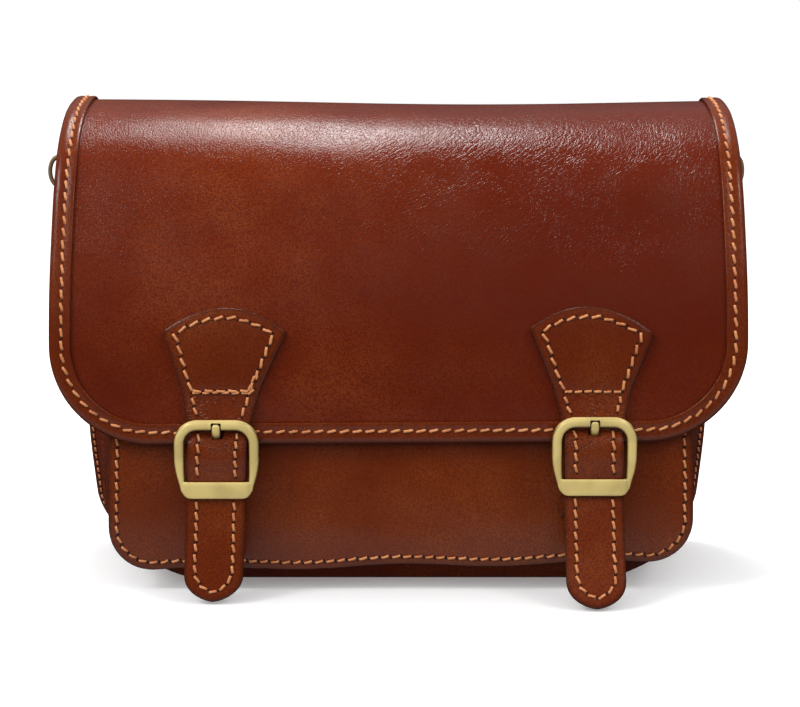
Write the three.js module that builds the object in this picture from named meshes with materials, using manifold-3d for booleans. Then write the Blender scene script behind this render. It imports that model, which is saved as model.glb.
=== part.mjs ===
// Leather shoulder bag in the form of a small satchel, standing closed on its soft bottom.
// Millimetres, +Z up, front facing -Y, +X to the right in the front view, origin on the floor under the
// middle of the bag.

import * as THREE from 'three';
import * as BufferGeometryUtils from 'three/addons/utils/BufferGeometryUtils.js';
import Module from 'manifold-3d';

// Driving dimensions

const CLEAR = 0.3; // gap kept between neighbouring pieces

const LEATHER = { body: 2.2, gusset: 2.0, flap: 2.0, binding: 1.1, strap: 2.4, chape: 1.5, tab: 3.2 };

const BACK = {
  face: 44, // outer face, distance behind the origin
  top: 184,
  halfWidth: 138,
  bottomHalfWidth: 133.4,
  taperTop: 62, // below this height the sides draw in
  cornerRadius: 24,
  shiftX: -0.7, // the back sits a little to the other side of the front
};

const GUSSET = {
  flange: 8,
  foldRadius: 2.4,
  frontHalfWidth: 116.2,
  frontBottom: 14,
  frontTop: 148,
  backTop: 172,
  frontCornerRadius: 17,
  backCornerRadius: 17,
  frontRise: 0.24, // share of the depth in which the bottom comes down from the front fold to the floor
  backRise: 0.84, // share of the depth at which it leaves the floor again
  sideBelly: 3, // how far the soft sides bulge at mid depth
  restStart: 0.72, // share of the bottom's half length that lies flat on the floor
  wallShares: [0.09, 0.15, 0.24, 0.42, 0.62, 0.84, 0.92], // shares of the depth between the folds
};

const FRONT = {
  halfWidth: 118.4,
  topHalfWidth: 115,
  cornerRadius: 19,
  lip: 11.2,
  top: 158,
  shiftX: 0.9, // the front sits a little to one side of the back
  lipTilt: 2.1, // rise of the lip from the middle to the right end
  lipWave: 0.9,
  lipWaveLength: 80,
};

// Front panel's mid surface in side view, from the lip to the hidden top edge
const FRONT_PROFILE = [
  { y: -41.2, z: 10 },
  { y: -43.3, z: 24 },
  { y: -43.5, z: 42 },
  { y: -42.2, z: 64 },
  { y: -41.2, z: 88 },
  { y: -38.0, z: 112 },
  { y: -31.0, z: 135 },
  { y: -22.4, z: 158 },
];

// Flap's mid surface in side view, from its lap on the back, over the top, to its lower front edge
const FLAP_PROFILE = [
  { y: 45.4, z: 175.0 },
  { y: 45.6, z: 185.0 },
  { y: 43.0, z: 193.2 },
  { y: 34.0, z: 196.9 },
  { y: 21.0, z: 195.8 },
  { y: 8.0, z: 192.7 },
  { y: -4.0, z: 187.0 },
  { y: -15.0, z: 178.2 },
  { y: -25.0, z: 164.2 },
  { y: -34.5, z: 144.0 },
  { y: -42.0, z: 124.0 },
  { y: -46.2, z: 104.0 },
  { y: -47.2, z: 84.0 },
  { y: -47.0, z: 64.4 },
];

const FLAP = {
  halfWidth: 138,
  cornerRadius: 38.6,
  sag: 2.3, // how far the top dips between its bound ends
  sagCentre: 34,
  sagReach: 98,
  sagFadeTop: 150, // the dip fades out down the front to this height
  sagFadeBack: 40, // and from here on to the back's face
  edgeTilt: 0.9, // rise of the lower edge towards the right end
  rowPitch: 7.5,
  cornerSteps: 6,
  columns: 14,
};

const BINDING = { band: 7.6, startHeight: 190, roundShare: 0.45, shoulder: 0.5 };

// Closure strap, flat, measured down from the corners of its fan end
const STRAP_OUTLINE = [
  { down: 0, half: 24.2 },
  { down: 9, half: 20.4 },
  { down: 22, half: 15.3 },
  { down: 34, half: 12.6 },
  { down: 44, half: 11.5 },
];
const STRAP = {
  half: 11.5,
  arch: 9.4, // rise of the fan's arched top over its corners
  fanHeight: 107.8, // height of the fan's corners on the flap
  liftStart: 17, // above the flap's edge, where the strap climbs over the binding
  crest: [8.6, 3.8], // above the flap's edge, where it lies on the binding
  hangShares: [0.5, 0.85, 1], // stations of the hanging end, from the keeper to the tip
  hangBend: 1.3, // over 1 the end leans out more towards its tip
  columns: 8,
  rowPitch: 5,
  tipLength: 11.8,
  tipPower: 2.6, // with the root, between a pointed arch and a half circle
  tipRoot: 0.66,
  tipSteps: 8,
  bluntShare: 0.12, // width left at the very tip
  holeWidth: 4.2,
  holeTop: 68.6,
  holeBottom: 63.8,
};

// Strap's mid surface below the flap's edge: behind the frame, over the prong, behind the keeper
const STRAP_DROP = [
  { y: -52.6, z: 66.4 },
  { y: -54.2, z: 63.2 },
  { y: -54.6, z: 58.5 },
  { y: -54.0, z: 50.5 },
  { y: -53.6, z: 43.5 },
];

const SIDES = [
  {
    name: 'left',
    sign: -1,
    fanX: -69.2,
    buckleX: -72.4,
    chapeX: -73.2, // where its sewn end lies
    tipX: -74.2,
    tipY: -60.5,
    fanTilt: 0.2,
    buckleLift: 0, // how much higher this buckle hangs
    ringSwing: 0,
  },
  {
    name: 'right',
    sign: 1,
    fanX: 76.8,
    buckleX: 77.9,
    chapeX: 76.3,
    tipX: 78.4,
    tipY: -70.5,
    fanTilt: 1.2,
    buckleLift: 1.2,
    ringSwing: 30,
  },
];
const TIP_HEIGHT = 1.5; // mid surface of a strap's tip over the floor

const BUCKLE = {
  top: 73.8,
  halfWidth: 14.9, // frame's centre line at its widest
  widest: 58.4,
  footHalfWidth: 13.2, // frame's centre line where it meets the keeper
  footShare: 0.5, // the bar thins to this share at its feet
  cornerRadius: 7.4,
  bar: 4.2,
  depth: 3.4,
  centreY: -54.4,
  sides: 10,
  keeperTop: 49,
  keeperHeight: 6.8,
  keeperDepth: 1.6,
  keeperHalfWidth: 14.4,
  keeperFront: -57.0,
  hingeY: -48.3,
  hingeZ: 45.8,
  hingeRadius: 1.4,
  lugHalfHeight: 2.2,
  lugWidth: 2.2,
  notchWidth: 4.4,
  notchBottomY: -53.8,
};

const PRONG = {
  halfWidth: 1.75,
  halfDepth: 1.1,
  bluntShare: 0.6, // size left at the very tip
  eyeInner: 1.7,
  eyeOuter: 2.9,
  eyeWidth: 4,
  eyeSides: 20,
};

// Prong's centre line from the eye on the hinge bar to the tip over the frame
const PRONG_PATH = [
  { y: -49.2, z: 47.6 },
  { y: -49.6, z: 54.0 },
  { y: -50.0, z: 61.0 },
  { y: -51.4, z: 65.0 },
  { y: -54.9, z: 68.6 },
  { y: -55.7, z: 72.8 },
];

const CHAPE = {
  halfWidth: 11.4, // at its sewn lower end
  wrapHalfWidth: 11.6, // round the hinge bar, between the lugs
  bottom: 33.5,
  sewnTop: 40,
  slotWidth: 5.4,
  wrapSteps: 8,
  sewnGap: 0.15,
};

const RING = {
  height: 166,
  barX: 144.1,
  barY: 46,
  wire: 0.95,
  halfBar: 7.2,
  reach: 9.6, // centre line's reach from the bar
  sides: 8,
  arcSteps: 14,
  squareness: 0.5, // below 1 the bow is fuller than an ellipse
};

const RING_TAB = { halfHeight: 5.4, inner: 112, loopClear: 0.35, loopWall: 1.2, circleSteps: 20 };

// Facets: how many steps the outlines and curves are cut into
const STEPS = {
  corner: 6,
  backRows: 8,
  backColumns: 8,
  frontRows: 11,
  frontColumns: 16,
  gussetSide: 6,
  gussetBottom: 8,
  bindingBottom: 12,
  strapOnFlap: 6,
  frameCorner: 4,
  prong: 10,
  prongSides: 8,
  profileSamples: 240,
};

const LOOK = {
  leather: { color: 0x6b2a14, roughness: 0.38, metalness: 0 },
  strapLeather: { color: 0x742f16, roughness: 0.36, metalness: 0 },
  brass: { color: 0x8f7440, roughness: 0.32, metalness: 1 },
};

// Solid helpers

const wasm = await Module();
wasm.setup();

const lerp = THREE.MathUtils.lerp;
const smoothstep = THREE.MathUtils.smoothstep;

/** A BufferGeometry from vertices and triangles, turned so that its faces point out. */
function closedGeometry(vertices, triangles) {
  let volume = 0;
  for (const [a, b, c] of triangles) {
    volume += vertices[a].dot(new THREE.Vector3().crossVectors(vertices[b], vertices[c]));
  }
  const index = triangles.flatMap(([a, b, c]) => (volume > 0 ? [a, b, c] : [a, c, b]));
  const geometry = new THREE.BufferGeometry();
  const places = vertices.flatMap((vertex) => vertex.toArray());
  geometry.setAttribute('position', new THREE.Float32BufferAttribute(places, 3));
  geometry.setIndex(index);
  return geometry;
}

/** A leather sheet: a grid of mid-surface points thickened to both sides and closed round its border. */
function sheet(grid, thickness) {
  const rows = grid.length;
  const columns = grid[0].length;
  const at = (r, c) => grid[Math.min(Math.max(r, 0), rows - 1)][Math.min(Math.max(c, 0), columns - 1)];
  const faces = [[], []];
  for (let r = 0; r < rows; r += 1) {
    for (let c = 0; c < columns; c += 1) {
      const along = at(r + 1, c).clone().sub(at(r - 1, c));
      const across = at(r, c + 1).clone().sub(at(r, c - 1));
      const normal = across.cross(along).normalize();
      faces[0].push(at(r, c).clone().addScaledVector(normal, thickness / 2));
      faces[1].push(at(r, c).clone().addScaledVector(normal, -thickness / 2));
    }
  }
  const under = rows * columns;
  const id = (r, c) => r * columns + c;
  const triangles = [];
  const quad = (a, b, c, d) => triangles.push([a, b, c], [a, c, d]);
  for (let r = 0; r + 1 < rows; r += 1) {
    for (let c = 0; c + 1 < columns; c += 1) {
      const corners = [id(r, c), id(r, c + 1), id(r + 1, c + 1), id(r + 1, c)];
      quad(...corners);
      quad(...corners.map((k) => k + under).reverse());
    }
  }
  const border = [];
  for (let c = 0; c < columns - 1; c += 1) border.push(id(0, c));
  for (let r = 0; r < rows - 1; r += 1) border.push(id(r, columns - 1));
  for (let c = columns - 1; c > 0; c -= 1) border.push(id(rows - 1, c));
  for (let r = rows - 1; r > 0; r -= 1) border.push(id(r, 0));
  border.forEach((a, k) => {
    const b = border[(k + 1) % border.length];
    quad(b, a, a + under, b + under);
  });
  return closedGeometry([...faces[0], ...faces[1]], triangles);
}

/** A solid through a row of rings of points, closed on itself or capped at both ends. */
function loft(rings, section, closed) {
  const sides = section.length;
  const triangles = [];
  const spans = closed ? rings.length : rings.length - 1;
  for (let r = 0; r < spans; r += 1) {
    const near = r * sides;
    const far = ((r + 1) % rings.length) * sides;
    for (let k = 0; k < sides; k += 1) {
      const next = (k + 1) % sides;
      triangles.push([near + k, near + next, far + next], [near + k, far + next, far + k]);
    }
  }
  if (!closed) {
    const last = (rings.length - 1) * sides;
    for (const [a, b, c] of THREE.ShapeUtils.triangulateShape(section, [])) {
      triangles.push([c, b, a], [a + last, b + last, c + last]);
    }
  }
  return closedGeometry(rings.flat(), triangles);
}

/** The solid of a geometry, for cutting and joining. */
function solidOf(geometry) {
  const bare = geometry.clone();
  bare.deleteAttribute('normal');
  bare.deleteAttribute('uv');
  const merged = BufferGeometryUtils.mergeVertices(bare);
  return new wasm.Manifold(new wasm.Mesh({
    numProp: 3,
    vertProperties: new Float32Array(merged.attributes.position.array),
    triVerts: new Uint32Array(merged.index.array),
  }));
}

/** A BufferGeometry of a cut or joined solid. */
function geometryOf(solid) {
  const mesh = solid.getMesh();
  const geometry = new THREE.BufferGeometry();
  geometry.setAttribute('position', new THREE.Float32BufferAttribute(mesh.vertProperties, 3));
  geometry.setIndex(Array.from(mesh.triVerts));
  return geometry;
}

/** A box between two opposite corners. */
function boxBetween(low, high) {
  const size = high.map((value, k) => Math.abs(value - low[k]));
  const middle = high.map((value, k) => (value + low[k]) / 2);
  return new THREE.BoxGeometry(...size).translate(...middle);
}

/** Points of a polygon with round sides, for sections: half sizes a and b. */
function ovalSection(a, b, sides) {
  return Array.from({ length: sides }, (_, k) => {
    const angle = (2 * Math.PI * (k + 0.5)) / sides;
    return new THREE.Vector2(a * Math.cos(angle), b * Math.sin(angle));
  });
}

/** A cylinder along X about a given centre. */
function barAlongX(radius, length, sides, centre) {
  return new THREE.CylinderGeometry(radius, radius, length, sides).rotateZ(Math.PI / 2).translate(...centre);
}

/** A side-view curve through the rows of a table of y and z. */
function sideCurve(rows) {
  const points = rows.map((row) => new THREE.Vector3(0, row.y, row.z));
  return new THREE.CatmullRomCurve3(points, false, 'centripetal');
}

/** Value of a column at a place in a table of rows sorted by its key column. */
function lookUp(rows, key, column, place) {
  const after = rows.findIndex((row) => row[key] >= place);
  if (after < 0) return rows[rows.length - 1][column];
  if (after === 0) return rows[0][column];
  const [a, b] = [rows[after - 1], rows[after]];
  return lerp(a[column], b[column], (place - a[key]) / (b[key] - a[key]));
}

/** Evenly spread shares from 0 to 1. */
function shares(count) {
  return Array.from({ length: count + 1 }, (_, k) => k / count);
}

function named(name, geometry, look) {
  const mesh = new THREE.Mesh(geometry, new THREE.MeshStandardMaterial(look));
  mesh.name = name;
  return mesh;
}

// Back panel

function backHalfWidth(z) {
  return lerp(BACK.bottomHalfWidth, BACK.halfWidth, smoothstep(z, 0, BACK.taperTop));
}

/** Heights and half widths of the back's outline: round lower corners, then drawn-in sides. */
function backRows() {
  const radius = BACK.cornerRadius;
  const corner = shares(STEPS.corner).map((share) => {
    const angle = (share * Math.PI) / 2;
    const z = radius * (1 - Math.cos(angle));
    return { z, half: backHalfWidth(z) - radius * (1 - Math.sin(angle)) };
  });
  const sides = shares(STEPS.backRows).slice(1).map((share) => {
    const z = lerp(radius, BACK.top, share);
    return { z, half: backHalfWidth(z) };
  });
  return [...corner, ...sides];
}

function backPanel() {
  const middle = BACK.face - LEATHER.body / 2;
  const grid = backRows().map(({ z, half }) => shares(STEPS.backColumns).map((share) => (
    new THREE.Vector3(BACK.shiftX + lerp(-half, half, share), middle, z))));
  return named('back_panel', sheet(grid, LEATHER.body), LOOK.leather);
}

// Front panel

const frontCurve = sideCurve(FRONT_PROFILE);
const frontSamples = frontCurve.getSpacedPoints(STEPS.profileSamples);

/** Distance of the front panel's mid surface from the origin plane at a height. */
function frontY(z) {
  return lookUp(frontSamples, 'z', 'y', z);
}

/** Height of the panel's lip across its width. */
function lipHeight(x) {
  const wave = FRONT.lipWave * Math.cos((2 * Math.PI * x) / FRONT.lipWaveLength);
  return FRONT.lip + (FRONT.lipTilt * x) / FRONT.halfWidth + wave;
}

function frontHalfWidth(z) {
  return lerp(FRONT.halfWidth, FRONT.topHalfWidth, smoothstep(z, FRONT.lip, FRONT.top));
}

function frontPanel() {
  const radius = FRONT.cornerRadius;
  const corner = shares(STEPS.corner).map((share) => {
    const angle = (share * Math.PI) / 2;
    const rise = radius * (1 - Math.cos(angle));
    return { rise, inset: radius * (1 - Math.sin(angle)) };
  });
  const height = FRONT.top - FRONT.lip;
  const sides = shares(STEPS.frontRows).slice(1).map((share) => (
    { rise: lerp(radius, height, share), inset: 0 }));
  const grid = [...corner, ...sides].map(({ rise, inset }) => {
    const half = frontHalfWidth(FRONT.lip + rise) - inset;
    const follow = 1 - rise / height; // the lip's wave fades out up the panel
    return shares(STEPS.frontColumns).map((share) => {
      const x = lerp(-half, half, share);
      const z = FRONT.lip + rise + follow * (lipHeight(x) - FRONT.lip);
      return new THREE.Vector3(x + FRONT.shiftX, frontY(z), z);
    });
  });
  return named('front_panel', sheet(grid, LEATHER.body), LOOK.leather);
}

// Gusset

/** One station of a U: straight side, round corner, bottom, round corner, straight side. */
function gussetStations() {
  const straight = shares(STEPS.gussetSide).slice(0, -1).map((share) => ({ zone: 'side', share }));
  const corner = shares(STEPS.corner).slice(0, -1).map((share) => ({ zone: 'corner', share }));
  const half = [...straight, ...corner];
  const bottom = shares(STEPS.gussetBottom).map((share) => ({ zone: 'bottom', share, sign: -1 }));
  const left = half.map((row) => ({ ...row, sign: -1 }));
  const right = half.map((row) => ({ ...row, sign: 1 })).reverse();
  return [...left, ...bottom, ...right];
}

/** Place and outward direction of a U's station in front view. */
function gussetPlace(station, outline) {
  const { zone, share, sign } = station;
  const { half, bottom, top, radius } = outline;
  const start = bottom + radius;
  if (zone === 'side') {
    const z = lerp(top, start, share);
    return { x: sign * half(z), z, outX: sign, outZ: 0 };
  }
  if (zone === 'corner') {
    const angle = (share * Math.PI) / 2;
    const inset = radius * (1 - Math.cos(angle));
    const z = start - radius * Math.sin(angle);
    return { x: sign * (half(z) - inset), z, outX: sign * Math.cos(angle), outZ: -Math.sin(angle) };
  }
  const reach = half(bottom) - radius;
  return { x: lerp(-reach, reach, share), z: bottom, outX: 0, outZ: -1 };
}

/** The gusset's section from its front flange, over both folds, to its back flange: out and depth share. */
function gussetSection(depth) {
  const fold = GUSSET.foldRadius;
  const turn = fold * (1 - Math.SQRT1_2);
  return [
    { out: -GUSSET.flange, share: 0 },
    { out: -fold, share: 0 },
    { out: -turn, share: turn / depth },
    { out: 0, share: fold / depth },
    ...GUSSET.wallShares.map((share) => ({ out: 0, share })),
    { out: 0, share: 1 - fold / depth },
    { out: turn, share: 1 - turn / depth },
    { out: fold, share: 1 },
    { out: GUSSET.flange, share: 1 },
  ];
}

function gusset() {
  const half = LEATHER.gusset / 2;
  const backY = BACK.face - LEATHER.body - CLEAR - half;
  const frontOffset = LEATHER.body / 2 + 2 * CLEAR + half;
  const front = {
    half: () => GUSSET.frontHalfWidth,
    bottom: GUSSET.frontBottom,
    top: GUSSET.frontTop,
    radius: GUSSET.frontCornerRadius,
  };
  const back = {
    half: (z) => backHalfWidth(z) - GUSSET.flange,
    bottom: GUSSET.flange + CLEAR,
    top: GUSSET.backTop,
    radius: GUSSET.backCornerRadius,
  };
  const grid = gussetStations().map((station) => {
    const near = gussetPlace(station, front);
    const far = gussetPlace(station, back);
    const nearY = frontY(near.z) + frontOffset;
    return gussetSection(backY - nearY).map(({ out, share }) => {
      const belly = Math.sin(Math.PI * share);
      const swell = GUSSET.sideBelly * belly * Math.abs(near.outX);
      const down = smoothstep(share, 0, GUSSET.frontRise) * (1 - smoothstep(share, GUSSET.backRise, 1));
      const z = lerp(near.z, far.z, share);
      const flat = 1 - smoothstep(Math.abs(near.x) / GUSSET.frontHalfWidth, GUSSET.restStart, 1);
      const floorDrop = (z - half) * down * flat;
      const x = lerp(near.x + FRONT.shiftX, far.x + BACK.shiftX, share);
      return new THREE.Vector3(
        x + (out + swell) * near.outX,
        lerp(nearY, backY, share),
        z - floorDrop + out * near.outZ,
      );
    });
  });
  return named('gusset', sheet(grid, LEATHER.gusset), LOOK.leather);
}

// Flap and its binding

const flapCurve = sideCurve(FLAP_PROFILE);
const FLAP_LENGTH = flapCurve.getLength();
const flapSamples = flapCurve.getSpacedPoints(STEPS.profileSamples);

/** Length along the flap, from its lap, at which its front comes down to a height. */
function flapLengthAt(z) {
  const front = flapSamples.findIndex((point) => point.y < 0 && point.z <= z);
  return (front / (flapSamples.length - 1)) * FLAP_LENGTH;
}

/** Length along the flap at which its back rises to a height. */
function flapLengthAtBack(z) {
  const back = flapSamples.findIndex((point) => point.z >= z);
  return (back / (flapSamples.length - 1)) * FLAP_LENGTH;
}

/** Place on the flap's mid surface and its outward normal, also a little past its ends. */
function flapPlace(along, x) {
  const lower = smoothstep(along, FLAP_LENGTH / 2, FLAP_LENGTH);
  const length = along - (FLAP.edgeTilt * lower * x) / FLAP.halfWidth;
  const share = Math.min(Math.max(length / FLAP_LENGTH, 0), 1);
  const tangent = flapCurve.getTangentAt(share);
  const point = flapCurve.getPointAt(share).addScaledVector(tangent, length - share * FLAP_LENGTH);
  const dip = FLAP.sag * Math.exp(-(((x - FLAP.sagCentre) / FLAP.sagReach) ** 2));
  const onTop = smoothstep(point.z, FLAP.sagFadeTop, BACK.top);
  const beforeBack = 1 - smoothstep(point.y, FLAP.sagFadeBack, BACK.face);
  return {
    point: new THREE.Vector3(x, point.y, point.z - dip * onTop * beforeBack),
    normal: new THREE.Vector3(0, tangent.z, -tangent.y),
  };
}

function flapPoint(along, x, lift) {
  const { point, normal } = flapPlace(along, x);
  return point.addScaledVector(normal, lift);
}

/** The flap's outline as lengths along it and half widths, with round lower corners. */
function flapRows() {
  const radius = FLAP.cornerRadius;
  const straight = FLAP_LENGTH - radius;
  const sides = shares(Math.round(straight / FLAP.rowPitch)).map((share) => (
    { along: share * straight, half: FLAP.halfWidth }));
  const corner = shares(FLAP.cornerSteps).slice(1).map((share) => {
    const angle = (share * Math.PI) / 2;
    const inset = radius * (1 - Math.cos(angle));
    return { along: straight + radius * Math.sin(angle), half: FLAP.halfWidth - inset };
  });
  return [...sides, ...corner];
}

function flap() {
  const grid = flapRows().map(({ along, half }) => shares(FLAP.columns).map((share) => (
    flapPoint(along, lerp(-half, half, share), 0))));
  return named('flap', sheet(grid, LEATHER.flap), LOOK.leather);
}

/** Stations round the flap's edge: place along and across it, and the direction inwards. */
function bindingStations() {
  const radius = FLAP.cornerRadius;
  const start = flapLengthAtBack(BINDING.startHeight);
  const cornerStart = FLAP_LENGTH - radius;
  const reach = FLAP.halfWidth - radius;
  const side = flapRows().filter(({ along }) => along > start && along < cornerStart).map(({ along }) => (
    { along, x: -FLAP.halfWidth, inX: 1, inAlong: 0 }));
  const corner = shares(FLAP.cornerSteps).slice(0, -1).map((share) => {
    const angle = (share * Math.PI) / 2;
    const [outX, outAlong] = [Math.cos(angle), Math.sin(angle)];
    const x = -reach - radius * outX;
    return { along: cornerStart + radius * outAlong, x, inX: outX, inAlong: -outAlong };
  });
  const bottom = shares(STEPS.bindingBottom).map((share) => (
    { along: FLAP_LENGTH, x: lerp(-reach, reach, share), inX: 0, inAlong: -1 }));
  const left = [...side, ...corner];
  const right = left.map((row) => ({ ...row, x: -row.x, inX: -row.inX })).reverse();
  return [...left, ...bottom, ...right];
}

/** The binding's folded section: distance in from the flap's edge, and lift off its mid surface. */
function bindingSection() {
  const under = LEATHER.flap / 2 + CLEAR;
  const over = under + LEATHER.binding;
  const nose = -CLEAR - LEATHER.binding;
  const round = over * BINDING.roundShare;
  return [
    [BINDING.band, over], [BINDING.shoulder, over], [nose, round], [nose, -round], [BINDING.shoulder, -over],
    [BINDING.band, -over], [BINDING.band, -under], [-CLEAR, -under], [-CLEAR, under], [BINDING.band, under],
  ].map(([inward, lift]) => new THREE.Vector2(inward, lift));
}

function flapBinding() {
  const section = bindingSection();
  const rings = bindingStations().map(({ along, x, inX, inAlong }) => section.map((place) => (
    flapPoint(along + place.x * inAlong, x + place.x * inX, place.y))));
  return named('flap_binding', loft(rings, section, false), LOOK.strapLeather);
}

// Closure straps

/** Side-view curve of a strap's mid surface, from the fan's arched top to the tip. */
function strapCurve(side) {
  const onFlap = LEATHER.flap / 2 + CLEAR + LEATHER.strap / 2;
  const onBinding = onFlap + CLEAR + LEATHER.binding;
  const top = flapLengthAt(STRAP.fanHeight + STRAP.arch);
  const climb = FLAP_LENGTH - STRAP.liftStart;
  const upper = shares(STEPS.strapOnFlap).map((share) => (
    flapPoint(lerp(top, climb, share), side.fanX, onFlap)));
  const crest = STRAP.crest.map((back) => (
    flapPoint(FLAP_LENGTH - back, side.fanX, onBinding)));
  const drop = STRAP_DROP.map(({ y, z }) => {
    const lift = z > BUCKLE.widest ? side.buckleLift : 0;
    return new THREE.Vector3(0, y, z + lift);
  });
  const last = STRAP_DROP[STRAP_DROP.length - 1];
  const hang = STRAP.hangShares.map((share) => new THREE.Vector3(
    0,
    lerp(last.y, side.tipY, share ** STRAP.hangBend),
    lerp(last.z, TIP_HEIGHT, share),
  ));
  const points = [...upper, ...crest, ...drop, ...hang];
  points.forEach((point) => point.setX(0));
  return new THREE.CatmullRomCurve3(points, false, 'centripetal');
}

/** Sideways place of a strap's middle at a height: it leans a little from the fan to the tip. */
function strapMiddle(side, z) {
  const buckleZ = BUCKLE.widest;
  if (z > buckleZ) return lerp(side.buckleX, side.fanX, (z - buckleZ) / (STRAP.fanHeight - buckleZ));
  return lerp(side.buckleX, side.tipX, (buckleZ - z) / buckleZ);
}

/** A strap's rows: how far down from its fan's corners, half width, and share of the fan's arch and tilt. */
function strapRows(length) {
  const tipStart = length - STRAP.arch - STRAP.tipLength;
  const body = shares(Math.round(tipStart / STRAP.rowPitch)).map((share) => {
    const down = share * tipStart;
    const fanShare = 1 - smoothstep(down, 0, STRAP_OUTLINE[2].down);
    return { down, half: lookUp(STRAP_OUTLINE, 'down', 'half', down), fanShare };
  });
  const tip = shares(STRAP.tipSteps).slice(1).map((step) => {
    const share = Math.sin((step * Math.PI) / 2);
    const taper = Math.max((1 - share ** STRAP.tipPower) ** STRAP.tipRoot, STRAP.bluntShare);
    return { down: tipStart + share * STRAP.tipLength, half: STRAP.half * taper, fanShare: 0 };
  });
  return [...body, ...tip];
}

function closureStrap(side) {
  const curve = strapCurve(side);
  const length = curve.getLength();
  const grid = strapRows(length).map(({ down, half, fanShare }) => shares(STRAP.columns).map((share) => {
    const across = lerp(-1, 1, share);
    const along = STRAP.arch + down + fanShare * (side.fanTilt * across - STRAP.arch * (1 - across ** 2));
    const point = curve.getPointAt(THREE.MathUtils.clamp(along / length, 0, 1));
    return point.setX(strapMiddle(side, point.z) + across * half);
  }));
  const hole = boxBetween(
    [side.buckleX - STRAP.holeWidth / 2, BUCKLE.keeperFront, STRAP.holeBottom + side.buckleLift],
    [side.buckleX + STRAP.holeWidth / 2, BUCKLE.hingeY, STRAP.holeTop + side.buckleLift],
  );
  const solid = solidOf(sheet(grid, LEATHER.strap)).subtract(solidOf(hole));
  return named(`closure_strap_${side.name}`, geometryOf(solid), LOOK.strapLeather);
}

// Buckles, prongs and chapes

/** The frame's centre line in front view, from the left foot over the top to the right foot. */
function framePath() {
  const { halfWidth, footHalfWidth, widest, cornerRadius, bar, keeperTop, keeperHeight } = BUCKLE;
  const top = BUCKLE.top - bar / 2;
  const foot = keeperTop - keeperHeight / 2;
  const shoulder = top - cornerRadius;
  const side = [foot, (foot + widest) / 2, widest, shoulder].map((z) => {
    const drawIn = z < widest ? ((widest - z) / (widest - foot)) ** 2 : 0;
    return [-lerp(halfWidth, footHalfWidth, drawIn), z];
  });
  const corner = shares(STEPS.frameCorner).slice(1).map((share) => {
    const angle = (share * Math.PI) / 2;
    return [-halfWidth + cornerRadius * (1 - Math.cos(angle)), shoulder + cornerRadius * Math.sin(angle)];
  });
  const left = [...side, ...corner];
  return [...left, ...left.map(([x, z]) => [-x, z]).reverse()];
}

/** Rings of a section swept along a path in a plane of constant Y, widened by a share at each height. */
function frontSweep(path, section, y, closed, widthShare) {
  const count = path.length;
  return path.map(([x, z], k) => {
    const before = path[closed ? (k + count - 1) % count : Math.max(k - 1, 0)];
    const after = path[closed ? (k + 1) % count : Math.min(k + 1, count - 1)];
    const run = new THREE.Vector2(after[0] - before[0], after[1] - before[1]).normalize();
    const share = widthShare(z);
    return section.map((place) => new THREE.Vector3(
      x - run.y * place.x * share,
      y + place.y,
      z + run.x * place.x * share,
    ));
  });
}

function buckle(side) {
  const b = BUCKLE;
  const section = ovalSection(b.bar / 2, b.depth / 2, b.sides);
  const thinning = (z) => lerp(b.footShare, 1, smoothstep(z, b.keeperTop - b.keeperHeight, b.widest));
  const frame = loft(frontSweep(framePath(), section, b.centreY, false, thinning), section, false);
  const keeper = boxBetween(
    [-b.keeperHalfWidth, b.keeperFront, b.keeperTop - b.keeperHeight],
    [b.keeperHalfWidth, b.keeperFront + b.keeperDepth, b.keeperTop],
  );
  const hinge = barAlongX(b.hingeRadius, 2 * b.keeperHalfWidth, b.sides, [0, b.hingeY, b.hingeZ]);
  const lugs = [-1, 1].map((sign) => boxBetween(
    [sign * b.keeperHalfWidth, b.keeperFront + b.keeperDepth / 2, b.hingeZ - b.lugHalfHeight],
    [sign * (b.keeperHalfWidth - b.lugWidth), b.hingeY + b.hingeRadius, b.hingeZ + b.lugHalfHeight],
  ));
  const notch = boxBetween(
    [-b.notchWidth / 2, b.keeperFront - b.depth, b.top - 2 * b.bar],
    [b.notchWidth / 2, b.notchBottomY, b.top + b.bar],
  );
  const solid = [keeper, hinge, ...lugs].reduce((sum, piece) => sum.add(solidOf(piece)), solidOf(frame));
  const geometry = geometryOf(solid.subtract(solidOf(notch))).translate(side.buckleX, 0, side.buckleLift);
  return named(`buckle_${side.name}`, geometry, LOOK.brass);
}

function prong(side) {
  const curve = sideCurve(PRONG_PATH);
  const section = ovalSection(PRONG.halfWidth, PRONG.halfDepth, STEPS.prongSides);
  const rings = shares(STEPS.prong).map((share) => {
    const point = curve.getPointAt(share);
    const tangent = curve.getTangentAt(share);
    const blunt = share === 1 ? PRONG.bluntShare : 1;
    return section.map((place) => new THREE.Vector3(
      place.x * blunt,
      point.y + place.y * tangent.z * blunt,
      point.z - place.y * tangent.y * blunt,
    ));
  });
  const centre = [0, BUCKLE.hingeY, BUCKLE.hingeZ];
  const eye = solidOf(barAlongX(PRONG.eyeOuter, PRONG.eyeWidth, PRONG.eyeSides, centre));
  const bore = solidOf(barAlongX(PRONG.eyeInner, PRONG.eyeWidth * 2, PRONG.eyeSides, centre));
  const solid = eye.add(solidOf(loft(rings, section, false))).subtract(bore);
  const geometry = geometryOf(solid).translate(side.buckleX, 0, side.buckleLift);
  return named(`prong_${side.name}`, geometry, LOOK.brass);
}

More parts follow.
